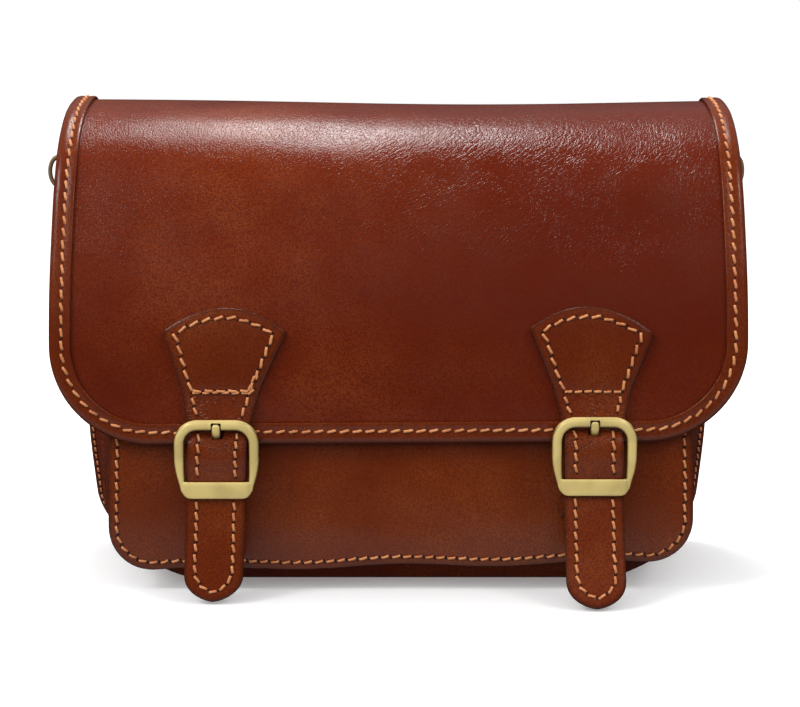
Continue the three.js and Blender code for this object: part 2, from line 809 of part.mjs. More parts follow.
/** Side-view centre line of a chape: up behind the hinge bar, over it, and down in front to its sewn end. */
function chapeLine(hingeZ) {
  const radius = BUCKLE.hingeRadius + CLEAR + LEATHER.chape / 2;
  const wrap = shares(CHAPE.wrapSteps).map((share) => {
    const angle = share * Math.PI;
    return [BUCKLE.hingeY + radius * Math.cos(angle), hingeZ + radius * Math.sin(angle)];
  });
  const seat = (z) => frontY(z) - LEATHER.body / 2 - CLEAR - LEATHER.chape / 2;
  const layer = LEATHER.chape + CHAPE.sewnGap;
  const behind = [CHAPE.bottom, CHAPE.sewnTop].map((z) => [seat(z), z]);
  const turn = [BUCKLE.hingeY - radius, hingeZ - radius];
  const before = [CHAPE.sewnTop, CHAPE.bottom].map((z) => [seat(z) - layer, z]);
  return [...behind, ...wrap, turn, ...before];
}

function chape(side) {
  const line = chapeLine(BUCKLE.hingeZ + side.buckleLift);
  const grid = line.map(([y, z]) => {
    const sewn = z <= CHAPE.sewnTop;
    const half = sewn ? CHAPE.halfWidth : CHAPE.wrapHalfWidth;
    const middle = sewn ? side.chapeX : side.buckleX;
    return [-1, 1].map((across) => new THREE.Vector3(middle + across * half, y, z));
  });
  const slot = boxBetween(
    [side.buckleX - CHAPE.slotWidth / 2, BUCKLE.keeperFront, CHAPE.sewnTop + CLEAR],
    [side.buckleX + CHAPE.slotWidth / 2, 0, BUCKLE.top],
  );
  const solid = solidOf(sheet(grid, LEATHER.chape)).subtract(solidOf(slot));
  return named(`chape_${side.name}`, geometryOf(solid), LOOK.strapLeather);
}

// Rings and their tabs

/** A ring's centre line in front view: straight bar in the tab, then a round bow outwards. */
function ringPath() {
  const { halfBar, reach, arcSteps } = RING;
  const bow = shares(arcSteps).map((share) => {
    const angle = lerp(-Math.PI / 2, Math.PI / 2, share);
    return [reach * Math.cos(angle) ** RING.squareness, halfBar * Math.sin(angle)];
  });
  return bow.map(([x, z]) => [x, z + RING.height]);
}

function dRing(side) {
  const section = ovalSection(RING.wire, RING.wire, RING.sides);
  const geometry = loft(frontSweep(ringPath(), section, 0, true, () => 1), section, true);
  geometry.rotateZ((side.ringSwing * Math.PI) / 180);
  if (side.sign < 0) geometry.rotateZ(Math.PI);
  return named(`d_ring_${side.name}`, geometry.translate(side.sign * RING.barX, RING.barY, 0), LOOK.brass);
}

function ringTab(side) {
  const low = BACK.face + CLEAR;
  const inner = RING.wire + RING_TAB.loopClear;
  const outer = inner + RING_TAB.loopWall;
  const height = 2 * RING_TAB.halfHeight;
  const strip = boxBetween(
    [side.sign * RING_TAB.inner, low, RING.height - RING_TAB.halfHeight],
    [side.sign * RING.barX, low + LEATHER.tab, RING.height + RING_TAB.halfHeight],
  );
  const upright = (radius, length) => new THREE.CylinderGeometry(radius, radius, length, RING_TAB.circleSteps)
    .rotateX(Math.PI / 2)
    .translate(side.sign * RING.barX, RING.barY, RING.height);
  const solid = solidOf(strip)
    .add(solidOf(upright(outer, height)))
    .subtract(solidOf(upright(inner, 2 * height)));
  return named(`ring_tab_${side.name}`, geometryOf(solid), LOOK.strapLeather);
}

// The whole bag

const bag = new THREE.Group();
bag.add(backPanel(), gusset(), frontPanel(), flap(), flapBinding());
for (const side of SIDES) {
  bag.add(closureStrap(side), buckle(side), prong(side), chape(side), ringTab(side), dRing(side));
}

export default bag;
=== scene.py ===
"""Looks of a leather shoulder bag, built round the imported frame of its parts.

Lengths in the tables are millimetres; the front faces -Y, +Z is up and the origin is on the floor.
"""

import logging
import math
from dataclasses import dataclass
from enum import Enum
from typing import Callable, Sequence

import bpy
import numpy as np
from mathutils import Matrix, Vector, kdtree


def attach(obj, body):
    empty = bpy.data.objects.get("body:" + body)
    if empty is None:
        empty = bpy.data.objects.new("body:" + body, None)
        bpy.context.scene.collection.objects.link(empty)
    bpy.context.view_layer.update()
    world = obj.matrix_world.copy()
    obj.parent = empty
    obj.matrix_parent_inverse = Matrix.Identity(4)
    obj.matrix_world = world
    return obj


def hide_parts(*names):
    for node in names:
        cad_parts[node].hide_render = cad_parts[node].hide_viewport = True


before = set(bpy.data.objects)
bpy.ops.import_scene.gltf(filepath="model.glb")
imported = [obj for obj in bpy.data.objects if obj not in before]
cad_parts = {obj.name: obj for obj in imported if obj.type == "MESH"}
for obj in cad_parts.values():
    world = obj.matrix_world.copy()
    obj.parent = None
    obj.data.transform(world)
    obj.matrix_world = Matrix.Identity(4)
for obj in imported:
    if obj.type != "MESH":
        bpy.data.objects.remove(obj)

LOG = logging.getLogger("shoulder_bag")
Array = np.ndarray
Spot = tuple[float, float, float]
MM = 0.001
BAG = "bag"
SEED = 11


# Measures and curves


def smoothstep(value: Array | float, low: float, high: float) -> Array:
    """A soft ramp from 0 at low to 1 at high."""
    share = np.clip((np.asarray(value, float) - low) / (high - low), 0.0, 1.0)
    return share * share * (3.0 - 2.0 * share)


def lerp(low: Array | float, high: Array | float, share: Array | float) -> Array | float:
    """The value at a share of the way from low to high."""
    return low + (high - low) * share


def unit(vectors: Array) -> Array:
    """The vectors at length one."""
    return vectors / np.maximum(np.linalg.norm(vectors, axis=-1, keepdims=True), 1e-9)


def even_steps(length: float, pitch: float) -> int:
    """How many even steps of about a pitch a length takes."""
    return max(int(round(length / pitch)), 1)


def nearness(points: Array, line: Array, reach: float) -> Array:
    """How near points lie to a line.

    Args:
        points: Points, with x, y and z last.
        line: Closely set points of the line.
        reach: Distance at which the line no longer counts.

    Returns:
        1 on the line, falling evenly to 0 at the reach.
    """
    tree = kdtree.KDTree(len(line))
    for place, point in enumerate(line):
        tree.insert(point, place)
    tree.balance()
    flat = points.reshape(-1, 3)
    gaps = np.array([tree.find(point)[2] for point in flat])
    return np.clip(1.0 - gaps / reach, 0.0, 1.0).reshape(points.shape[:-1])


def lengths_along(line: Array) -> Array:
    """How far along a line each of its points lies."""
    return np.concatenate([[0.0], np.cumsum(np.linalg.norm(np.diff(line, axis=0), axis=1))])


def full_turn(sides: int) -> Array:
    """Angles evenly round a circle."""
    return np.linspace(0.0, 2 * math.pi, sides, endpoint=False)


def evenly_along(line: Array, pitch: float) -> Array:
    """Points set along a line at an even pitch, both ends kept."""
    run = lengths_along(line)
    places = np.linspace(0.0, run[-1], even_steps(run[-1], pitch) + 1)
    return np.stack([np.interp(places, run, line[:, k]) for k in range(line.shape[1])], axis=-1)


class SideCurve:
    """A smooth side-view curve through points of y and z, measured along its length."""

    def __init__(self, points: Sequence[tuple[float, float]], steps: int = 48) -> None:
        """Lays the curve through the points, each span cut into a number of steps."""
        knots = np.array(points, float)
        knots = np.vstack([2 * knots[0] - knots[1], knots, 2 * knots[-1] - knots[-2]])
        spans = [self._span(knots[k : k + 4], steps) for k in range(len(knots) - 3)]
        self.points = np.vstack([*spans, knots[-2:-1]])
        self.lengths = lengths_along(self.points)
        self.length = float(self.lengths[-1])
        self._slopes = unit(np.gradient(self.points, self.lengths, axis=0))

    @staticmethod
    def _span(knots: Array, steps: int) -> Array:
        """Points of the span between the middle two of four knots, without its last one."""
        gap = np.linalg.norm(np.diff(knots, axis=0), axis=1) ** 0.5
        slope = np.diff(knots, axis=0) / gap[:, None]
        chord = (knots[2:] - knots[:-2]) / (gap[1:] + gap[:-1])[:, None]
        start = (slope[0] - chord[0] + slope[1]) * gap[1]
        end = (slope[1] - chord[1] + slope[2]) * gap[1]
        t = np.linspace(0.0, 1.0, steps, endpoint=False)[:, None]
        first, last = knots[1], knots[2]
        square = 3 * (last - first) - 2 * start - end
        cube = 2 * (first - last) + start + end
        return first + start * t + square * t**2 + cube * t**3

    def tangent(self, along: Array | float) -> Array:
        """Directions of the curve at lengths along it."""
        parts = [np.interp(along, self.lengths, self._slopes[:, k]) for k in (0, 1)]
        return unit(np.stack(parts, axis=-1))

    def at(self, along: Array | float) -> Array:
        """Points at lengths along the curve, straight on past its ends."""
        along = np.asarray(along, float)
        inside = np.clip(along, 0.0, self.length)
        parts = [np.interp(inside, self.lengths, self.points[:, k]) for k in (0, 1)]
        return np.stack(parts, axis=-1) + self.tangent(inside) * (along - inside)[..., None]

    def first(self, mask: Array) -> float:
        """Length along the curve at which a mask over its points first holds."""
        return float(self.lengths[int(np.argmax(mask))])


class Unevenness:
    """Soft, seeded hills and hollows, as hand-worked leather has them."""

    def __init__(self, seed: int, wave: float, waves: int = 14) -> None:
        """Picks waves of about a length, in all directions."""
        pick = np.random.default_rng(seed)
        lengths = wave * pick.uniform(0.6, 1.7, waves)
        self._turns = unit(pick.normal(size=(waves, 3))) * (2 * math.pi / lengths)[:, None]
        self._starts = pick.uniform(0.0, 2 * math.pi, waves)
        self._scale = math.sqrt(2.0 / waves)

    def __call__(self, points: Array) -> Array:
        """Heights at points, about -1 to 1."""
        return np.sin(points @ self._turns.T + self._starts).sum(axis=-1) * self._scale * 0.6


# Meshes


class Shape:
    """Points and faces of one piece, joined from any number of parts, in millimetres."""

    def __init__(self) -> None:
        """Starts empty."""
        self.points: list[Array] = []
        self.rims: list[Array] = []
        self.faces: list[Array] = []
        self.skins: list[Array] = []
        self.count = 0

    def add(self, points: Array, faces: Sequence[Array], rim: Array | None = None, skin: int = 0) -> "Shape":
        """Adds a part.

        Args:
            points: The part's points.
            faces: Arrays of faces, each array with faces of one number of corners.
            rim: For each point, how near it lies to an edge of the leather.
            skin: Which of the piece's finishes the part wears.

        Returns:
            The shape itself.
        """
        points = points.reshape(-1, 3)
        self.points.append(points)
        self.rims.append(np.zeros(len(points)) if rim is None else rim.ravel())
        for part in faces:
            self.faces.append(np.asarray(part, int) + self.count)
            self.skins.append(np.full(len(part), skin))
        self.count += len(points)
        return self

    def join(self, other: "Shape") -> None:
        """Adds all of another shape."""
        self.points += other.points
        self.rims += other.rims
        self.faces += [part + self.count for part in other.faces]
        self.skins += other.skins
        self.count += other.count

    def make(self, name: str, *finishes: bpy.types.Material) -> bpy.types.Object:
        """Makes the piece.

        Args:
            name: The piece's name.
            finishes: Its finishes, in the order of the parts' skins.

        Returns:
            The piece, smoothly shaded, in the scene.
        """
        mesh = bpy.data.meshes.new(name)
        points = np.vstack(self.points) * MM
        corners = np.concatenate([part.ravel() for part in self.faces])
        sizes = np.concatenate([np.full(len(part), part.shape[1]) for part in self.faces])
        mesh.vertices.add(len(points))
        mesh.vertices.foreach_set("co", points.astype(np.float32).ravel())
        mesh.loops.add(len(corners))
        mesh.loops.foreach_set("vertex_index", corners.astype(np.int32))
        mesh.polygons.add(len(sizes))
        starts = np.concatenate([[0], np.cumsum(sizes)[:-1]])
        mesh.polygons.foreach_set("loop_start", starts.astype(np.int32))
        mesh.polygons.foreach_set("material_index", np.concatenate(self.skins).astype(np.int32))
        rims = mesh.attributes.new("rim", "FLOAT", "POINT")
        rims.data.foreach_set("value", np.concatenate(self.rims).astype(np.float32))
        mesh.update(calc_edges=True)
        mesh.shade_smooth()
        for finish in finishes:
            mesh.materials.append(finish)
        piece = bpy.data.objects.new(name, mesh)
        bpy.context.scene.collection.objects.link(piece)
        return piece


@dataclass
class Sheet:
    """A leather sheet: a grid of mid-surface points, thickened, with rounded edges."""

    grid: Array
    thickness: float
    bulge: float = 0.35
    rim_reach: float = 3.0
    edge_drop: float = 0.0
    relief: Array | None = None
    hole: tuple[int, int, int, int] | None = None
    rim_loops: int = 4

    def normals(self) -> Array:
        """Directions off the sheet's outer face."""
        along = np.gradient(self.grid, axis=0)
        across = np.gradient(self.grid, axis=1)
        return unit(np.cross(across, along))

    def _border(self) -> Array:
        """Places of the border's points in the grid, once round."""
        rows, columns = self.grid.shape[:2]
        places = np.arange(rows * columns).reshape(rows, columns)
        return np.concatenate([
            places[0, :-1], places[:-1, -1], places[-1, :0:-1], places[:0:-1, 0],
        ])

    def _cells(self) -> Array:
        """The grid's faces, without the hole's."""
        rows, columns = self.grid.shape[:2]
        row, column = np.meshgrid(np.arange(rows - 1), np.arange(columns - 1), indexing="ij")
        keep = np.ones(row.shape, bool)
        if self.hole:
            top, bottom, left, right = self.hole
            keep[top:bottom, left:right] = False
        corner = (row * columns + column)[keep]
        return np.stack([corner, corner + 1, corner + columns + 1, corner + columns], axis=-1)

    def _hole_walls(self, under: int) -> Array:
        """Faces round the hole, from the outer face to the inner one."""
        top, bottom, left, right = self.hole
        columns = self.grid.shape[1]
        places = np.arange(self.grid.shape[0] * columns).reshape(-1, columns)
        inside = places[top : bottom + 1, left : right + 1]
        loop = np.concatenate([inside[0, :-1], inside[:-1, -1], inside[-1, :0:-1], inside[:0:-1, 0]])
        after = np.roll(loop, -1)
        return np.stack([loop, after, after + under, loop + under], axis=-1)

    def shape(self) -> Shape:
        """The closed sheet: outer and inner faces joined by a rounded edge."""
        normals = self.normals()
        flat = self.grid.reshape(-1, 3)
        border = self._border()
        line = evenly_along(np.vstack([flat[border], flat[border[:1]]]), 0.5)
        rim = nearness(self.grid, line, self.rim_reach)
        half = self.thickness / 2
        lift = half - self.edge_drop * rim**2
        if self.relief is not None:
            lift = lift + self.relief
        outer = (self.grid + normals * lift[..., None]).reshape(-1, 3)
        inner = (self.grid - normals * half).reshape(-1, 3)
        under = len(outer)
        cells = self._cells()
        faces = [cells, cells[:, ::-1] + under]
        if self.hole:
            faces.append(self._hole_walls(under))
        run = np.roll(flat[border], -1, axis=0) - np.roll(flat[border], 1, axis=0)
        out = unit(np.cross(unit(run), normals.reshape(-1, 3)[border]))
        middle = (outer[border] + inner[border]) / 2
        reach = (outer[border] - inner[border]) / 2
        loops = []
        for step in range(1, self.rim_loops + 1):
            angle = math.pi * (0.5 - step / (self.rim_loops + 1))
            loops.append(middle + reach * math.sin(angle) + out * (half * self.bulge * math.cos(angle)))
        first = 2 * under + np.arange(len(border))
        rings = [border, *(first + k * len(border) for k in range(self.rim_loops)), border + under]
        for near, far in zip(rings, rings[1:]):
            faces.append(np.stack([np.roll(near, -1), near, far, np.roll(far, -1)], axis=-1))
        points = np.vstack([outer, inner, *loops])
        rims = np.concatenate([rim.ravel(), rim.ravel(), np.ones(len(border) * self.rim_loops)])
        return Shape().add(points, faces, rims)


def loft(rings: Array, closed: bool, skin: int = 0, rim: Array | None = None) -> Shape:
    """A solid through a row of rings.

    Args:
        rings: Rings of points, the ring first, then the place round it.
        closed: Whether the last ring joins the first; if not, both ends are capped.
        skin: Which of the piece's finishes it wears.
        rim: For each place round a ring, how near it lies to an edge.

    Returns:
        The closed solid.
    """
    count, sides = rings.shape[:2]
    places = np.arange(count * sides).reshape(count, sides)
    near = places if closed else places[:-1]
    far = np.roll(places, -1, axis=0) if closed else places[1:]
    quads = np.stack([near, np.roll(near, -1, axis=1), np.roll(far, -1, axis=1), far], axis=-1)
    quads = quads.reshape(-1, 4)
    faces = [quads] if closed else [quads, places[:1, ::-1], places[-1:]]
    points = rings.reshape(-1, 3)
    corner = points[quads]
    volume = np.einsum("ij,ij->i", corner[:, 0], np.cross(corner[:, 1], corner[:, 2])).sum()
    volume += np.einsum("ij,ij->i", corner[:, 0], np.cross(corner[:, 2], corner[:, 3])).sum()
    if volume < 0:
        faces = [part[:, ::-1] for part in faces]
    rims = None if rim is None else np.tile(rim, count)
    return Shape().add(points, faces, rims, skin)


def fused(
    name: str, finish: bpy.types.Material, base: Shape, joined: Sequence[Shape], cut: Sequence[Shape],
) -> bpy.types.Object:
    """One solid piece from overlapping solids.

    Args:
        name: The piece's name.
        finish: Its finish.
        base: The solid to start from.
        joined: Solids to add.
        cut: Solids to take away.

    Returns:
        The piece, smooth but for its sharp edges, in the scene.
    """
    piece = base.make(name)
    tools = [(shape.make(f"{name}_tool"), "UNION") for shape in joined]
    tools += [(shape.make(f"{name}_tool"), "DIFFERENCE") for shape in cut]
    for tool, operation in tools:
        step = piece.modifiers.new("step", "BOOLEAN")
        step.operation = operation
        step.solver = "EXACT"
        step.object = tool
    solid = piece.evaluated_get(bpy.context.evaluated_depsgraph_get())
    mesh = bpy.data.meshes.new_from_object(solid)
    piece.modifiers.clear()
    rough = piece.data
    piece.data = mesh
    bpy.data.meshes.remove(rough)
    mesh.name = name
    for tool, _ in tools:
        bpy.data.meshes.remove(tool.data)
    mesh.materials.clear()
    mesh.materials.append(finish)
    mesh.shade_smooth()
    mesh.set_sharp_from_angle(angle=math.radians(38.0))
    return piece


# The bag's form


@dataclass(frozen=True)
class Place:
    """Where the pieces of one side stand and how they lean."""

    word: str
    sign: int
    fan_x: float
    buckle_x: float
    chape_x: float
    tip_x: float
    tip_y: float
    fan_tilt: float
    lift: float
    ring_swing: float
    resewn: bool


class Side(Enum):
    """The bag's two sides, as the front view shows them."""

    LEFT = Place("left", -1, -69.2, -72.4, -73.2, -74.2, -60.5, 0.2, 0.0, 0.0, True)
    RIGHT = Place("right", 1, 76.8, 77.9, 76.3, 78.4, -70.5, 1.2, 1.2, 30.0, False)


@dataclass(frozen=True)
class Thickness:
    """How thick each leather is, and the gap kept between pieces."""

    body: float = 2.2
    gusset: float = 2.0
    flap: float = 2.0
    binding: float = 1.1
    strap: float = 2.4
    chape: float = 1.5
    tab: float = 1.5
    gap: float = 0.3


@dataclass(frozen=True)
class BackForm:
    """The flat back's outline."""

    face: float = 44.0
    top: float = 184.0
    half_width: float = 138.0
    bottom_half_width: float = 133.4
    taper_top: float = 62.0
    corner: float = 24.0
    shift_x: float = -0.7

    def half(self, z: Array | float) -> Array:
        """Half the width at a height."""
        return lerp(self.bottom_half_width, self.half_width, smoothstep(z, 0.0, self.taper_top))


class FrontForm:
    """The crowned front's mid surface and outline."""

    HALF_WIDTH = 118.4
    TOP_HALF_WIDTH = 115.0
    CORNER = 19.0
    LIP = 11.2
    TOP = 158.0
    SHIFT_X = 0.9
    LIP_TILT = 2.1
    LIP_WAVE = 0.9
    LIP_WAVE_LENGTH = 80.0
    PROFILE = (
        (-41.2, 10.0), (-43.3, 24.0), (-43.5, 42.0), (-42.2, 64.0),
        (-41.2, 88.0), (-38.0, 112.0), (-31.0, 135.0), (-22.4, 158.0),
    )

    def __init__(self) -> None:
        """Lays the side-view curve."""
        self.curve = SideCurve(self.PROFILE)

    def y(self, z: Array | float) -> Array:
        """Place of the mid surface at a height."""
        return np.interp(z, self.curve.points[:, 1], self.curve.points[:, 0])

    def half(self, z: Array | float) -> Array:
        """Half the width at a height."""
        return lerp(self.HALF_WIDTH, self.TOP_HALF_WIDTH, smoothstep(z, self.LIP, self.TOP))

    def place(self, x: Array, rise: Array) -> Array:
        """Points of the mid surface.

        Args:
            x: Distances from the panel's middle.
            rise: Heights over the lip.

        Returns:
            The points; the lip's wave fades out up the panel.
        """
        wave = self.LIP_WAVE * np.cos(2 * math.pi * x / self.LIP_WAVE_LENGTH)
        sway = self.LIP_TILT * x / self.HALF_WIDTH + wave
        z = self.LIP + rise + (1.0 - rise / (self.TOP - self.LIP)) * sway
        return np.stack([x + self.SHIFT_X, self.y(z), z], axis=-1)


class FlapForm:
    """The flap's mid surface: lapped on the back, over the top and down the front."""

    HALF_WIDTH = 138.0
    CORNER = 38.6
    SAG = 2.3
    SAG_CENTRE = 34.0
    SAG_REACH = 98.0
    EDGE_TILT = 0.9
    DENT = 0.5
    DENT_WAVE = 62.0
    PROFILE = (
        (45.4, 175.0), (45.6, 185.0), (43.0, 193.2), (34.0, 196.9), (21.0, 195.8),
        (8.0, 192.7), (-4.0, 187.0), (-15.0, 178.2), (-25.0, 164.2), (-34.5, 144.0),
        (-42.0, 124.0), (-46.2, 104.0), (-47.2, 84.0), (-47.0, 64.4),
    )

    def __init__(self) -> None:
        """Lays the side-view curve and picks the leather's soft hollows."""
        self.curve = SideCurve(self.PROFILE)
        self.length = self.curve.length
        self._hollows = Unevenness(SEED, self.DENT_WAVE)

    def along_front(self, z: float) -> float:
        """Length from the lap at which the front comes down to a height."""
        return self.curve.first((self.curve.points[:, 0] < 0.0) & (self.curve.points[:, 1] <= z))

    def along_back(self, z: float) -> float:
        """Length from the lap at which the back rises to a height."""
        return self.curve.first(self.curve.points[:, 1] >= z)

    def place(self, along: Array, x: Array, lift: Array | float = 0.0) -> Array:
        """Points over the flap's mid surface.

        Args:
            along: Lengths from the lap.
            x: Distances to the right of the middle.
            lift: How far off the surface.

        Returns:
            The points; the top sags a little between its bound ends.
        """
        along, x = np.broadcast_arrays(np.asarray(along, float), np.asarray(x, float))
        lower = smoothstep(along, self.length / 2, self.length)
        length = along - self.EDGE_TILT * lower * x / self.HALF_WIDTH
        flat = self.curve.at(length)
        run = self.curve.tangent(length)
        y, z = flat[..., 0], flat[..., 1]
        dip = self.SAG * np.exp(-(((x - self.SAG_CENTRE) / self.SAG_REACH) ** 2))
        z = z - dip * smoothstep(z, 150.0, 184.0) * (1.0 - smoothstep(y, 40.0, 44.0))
        off = self.normal(run) * (np.asarray(lift) + self._dents(along, x, y, z))[..., None]
        return np.stack([x, y, z], axis=-1) + off

    @staticmethod
    def normal(run: Array) -> Array:
        """Directions off the surface, from its directions in side view."""
        return np.stack([np.zeros(run.shape[:-1]), run[..., 1], -run[..., 0]], axis=-1)

    def normals(self, along: Array, x: Array) -> Array:
        """Directions off the surface at places on it."""
        lower = smoothstep(along, self.length / 2, self.length)
        return self.normal(self.curve.tangent(along - self.EDGE_TILT * lower * x / self.HALF_WIDTH))

    def _dents(self, along: Array, x: Array, y: Array, z: Array) -> Array:
        """Depth of the soft hollows, gone towards the lap and the bound edge."""
        near_edge = smoothstep(along, self.length - 112.0, self.length - 62.0)
        free = smoothstep(along, 28.0, 70.0) * (1.0 - near_edge)
        inside = 1.0 - smoothstep(np.abs(x), self.HALF_WIDTH - 44.0, self.HALF_WIDTH - 10.0)
        return self.DENT * free * inside * self._hollows(np.stack([x, y, z], axis=-1))


THICK = Thickness()
BACK = BackForm()
FRONT = FrontForm()
FLAP = FlapForm()


# Sewing

THREAD_SKIN = 0
HOLE_SKIN = 1


@dataclass(frozen=True)
class Thread:
    """A waxed thread and the stitches sewn with it."""

    radius: float = 0.58
    stitch: float = 4.5
    pitch: float = 5.1
    slant: float = 13.0
    rise: float = 0.25
    sink: float = 0.85
    hole: float = 0.5
    hole_gap: float = 0.12
    plies: int = 3
    ply_depth: float = 0.13
    ply_turn: float = 2.3
    end_taper: float = 0.35
    flatness: float = 0.9
    slant_spread: float = 2.5
    wander: float = 0.07
    stations: int = 11
    sides: int = 9


@dataclass(frozen=True)
class Seam:
    """A line of stitches on leather."""

    line: Array
    normals: Array
    thread: Thread = Thread()
    seed: int = SEED

    @staticmethod
    def _at(rows: Array, places: Array, run: Array) -> Array:
        """Rows given along the line, read off at other lengths along it."""
        return np.stack([np.interp(places, run, rows[:, k]) for k in range(3)], axis=-1)

    def _laid(self, places: Array, run: Array) -> tuple[Array, Array, Array, Array]:
        """Centres, directions, sideways directions and normals at lengths along the line."""
        normal = unit(self._at(self.normals, places, run))
        forward = self._at(np.gradient(self.line, run, axis=0), places, run)
        forward = unit(forward - normal * np.einsum("ij,ij->i", forward, normal)[:, None])
        return self._at(self.line, places, run), forward, np.cross(normal, forward), normal

    def shape(self) -> Shape:
        """Twisted stitches whose ends dip into the leather, and a dark lens at each end, painted shade for
        the needle hole.
        """
        thread = self.thread
        pick = np.random.default_rng(self.seed)
        run = lengths_along(self.line)
        count = even_steps(run[-1], thread.pitch)
        pitch = run[-1] / count
        places = (np.arange(count) + 0.5) * pitch
        centre, forward, side, normal = self._laid(places, run)
        turn = np.radians(thread.slant + pick.normal(0.0, thread.slant_spread, count))[:, None]
        ahead = forward * np.cos(turn) + side * np.sin(turn)
        beside = np.cross(normal, ahead)
        length = thread.stitch / thread.pitch * pitch * pick.uniform(0.95, 1.04, count)
        centre = centre + side * pick.normal(0.0, thread.wander, count)[:, None]
        step = np.linspace(-1.0, 1.0, thread.stations)
        angle = full_turn(thread.sides)
        twist = pick.uniform(0.0, 2 * math.pi, count)[:, None, None]
        wound = angle[None, None, :] + thread.ply_turn * step[None, :, None]
        ply = 1.0 + thread.ply_depth * np.cos(thread.plies * wound + twist)
        radius = thread.radius * (1.0 - thread.end_taper * np.abs(step) ** 5)[None, :, None] * ply
        lift = lerp(thread.rise, -thread.sink, np.abs(step) ** 4.5)[None, :, None]
        up = lift + radius * np.sin(angle) * thread.flatness
        across = radius * np.cos(angle)
        reach = (length[:, None] / 2 * step)[:, :, None, None]
        points = (
            centre[:, None, None] + ahead[:, None, None] * reach
            + beside[:, None, None] * across[..., None] + normal[:, None, None] * up[..., None]
        )
        shape = Shape()
        for ring in points:
            shape.join(loft(ring, closed=False, skin=THREAD_SKIN))
        for end in (-1.0, 1.0):
            at = centre + ahead * (end * (length / 2 + thread.hole_gap))[:, None]
            self._holes(shape, at, ahead, beside, normal)
        return shape

    def _holes(self, shape: Shape, at: Array, ahead: Array, beside: Array, normal: Array) -> None:
        """Adds a dark lens at each place, a little longer along the seam: painted shade for a needle hole.
        """
        angle = full_turn(10)
        rows = ((0.55, 0.05), (1.0, 0.015), (0.5, -0.35))
        size = self.thread.hole
        for place, run, side, up in zip(at, ahead, beside, normal):
            oval = np.outer(np.cos(angle), run) * 1.15 + np.outer(np.sin(angle), side) * 0.8
            rings = np.stack([place + up * lift + size * share * oval for share, lift in rows])
            shape.join(loft(rings, closed=False, skin=HOLE_SKIN))


# Finishes

Colour = tuple[float, float, float]
Socket = bpy.types.NodeSocket


class NodeHand:
    """Lays and joins the nodes of one tree."""

    def __init__(self, tree: bpy.types.NodeTree) -> None:
        """Takes the tree."""
        self.tree = tree

    def add(self, kind: str, settings: dict[str, object] | None = None, **inputs: object) -> bpy.types.Node:
        """Adds a node.

        Args:
            kind: The node's type, without its common prefix.
            settings: Its properties.
            inputs: Values or sockets for its inputs, spaces in their names written as underscores.

        Returns:
            The node.
        """
        node = self.tree.nodes.new(f"ShaderNode{kind}")
        for key, value in (settings or {}).items():
            setattr(node, key, value)
        for key, value in inputs.items():
            self.feed(node, key.replace("_", " "), value)
        return node

    def feed(self, node: bpy.types.Node, name: str | int, value: object) -> None:
        """Sets an input to a value, or joins a socket to it."""
        socket = node.inputs[name]
        if isinstance(value, bpy.types.NodeSocket):
            self.tree.links.new(value, socket)
        elif socket.type == "RGBA":
            socket.default_value = (*value, 1.0)
        else:
            socket.default_value = value

    def math(self, operation: str, *values: object) -> Socket:
        """A sum, product or other operation on numbers."""
        node = self.add("Math", {"operation": operation})
        for place, value in enumerate(values):
            self.feed(node, place, value)
        return node.outputs[0]

    def vector(self, operation: str, *values: object) -> bpy.types.Node:
        """An operation on vectors."""
        node = self.add("VectorMath", {"operation": operation})
        for place, value in enumerate(values):
            self.feed(node, place, value)
        return node

    def ramp(
        self, value: Socket, low: float, high: float, start: object = 0.0, end: object = 1.0,
    ) -> Socket:
        """A soft ramp of a value from start at low to end at high."""
        node = self.add("MapRange", {"interpolation_type": "SMOOTHSTEP"}, Value=value)
        for name, amount in (("From Min", low), ("From Max", high), ("To Min", start), ("To Max", end)):
            self.feed(node, name, amount)
        return node.outputs[0]

    def blend(self, share: object, first: object, second: object, mode: str = "MIX") -> Socket:
        """A mix of two colours."""
        node = self.add("MixRGB", {"blend_type": mode}, Fac=share, Color1=first, Color2=second)
        return node.outputs[0]

    def noise(self, place: Socket, scale: object, detail: float, roughness: float = 0.5) -> Socket:
        """Cloudy noise at a place."""
        node = self.add("TexNoise", Vector=place, Scale=scale, Detail=detail, Roughness=roughness)
        return node.outputs[0]


class Effect:
    """A shared effect: a node group with named sockets."""

    KINDS = {"float": "NodeSocketFloat", "color": "NodeSocketColor", "vector": "NodeSocketVector"}

    def __init__(self, name: str, inputs: dict[str, tuple[str, object]], outputs: dict[str, str]) -> None:
        """Makes an empty group with its sockets."""
        self.tree = bpy.data.node_groups.new(name, "ShaderNodeTree")
        for word, (kind, value) in inputs.items():
            socket = self.tree.interface.new_socket(word, in_out="INPUT", socket_type=self.KINDS[kind])
            socket.default_value = (*value, 1.0) if kind == "color" else value
        for word, kind in outputs.items():
            self.tree.interface.new_socket(word, in_out="OUTPUT", socket_type=self.KINDS[kind])
        self.hand = NodeHand(self.tree)
        self.given = self.tree.nodes.new("NodeGroupInput").outputs
        self.result = self.tree.nodes.new("NodeGroupOutput").inputs

    def place(self) -> Socket:
        """The place on the object, in metres."""
        return self.hand.add("TexCoord").outputs["Object"]

    def give(self, name: str, socket: Socket) -> None:
        """Joins a socket to one of the group's outputs."""
        self.tree.links.new(socket, self.result[name])

    def use(self, hand: NodeHand, **inputs: object) -> bpy.types.Node:
        """Puts the group into a tree, with its inputs set."""
        return hand.add("Group", {"node_tree": self.tree}, **inputs)


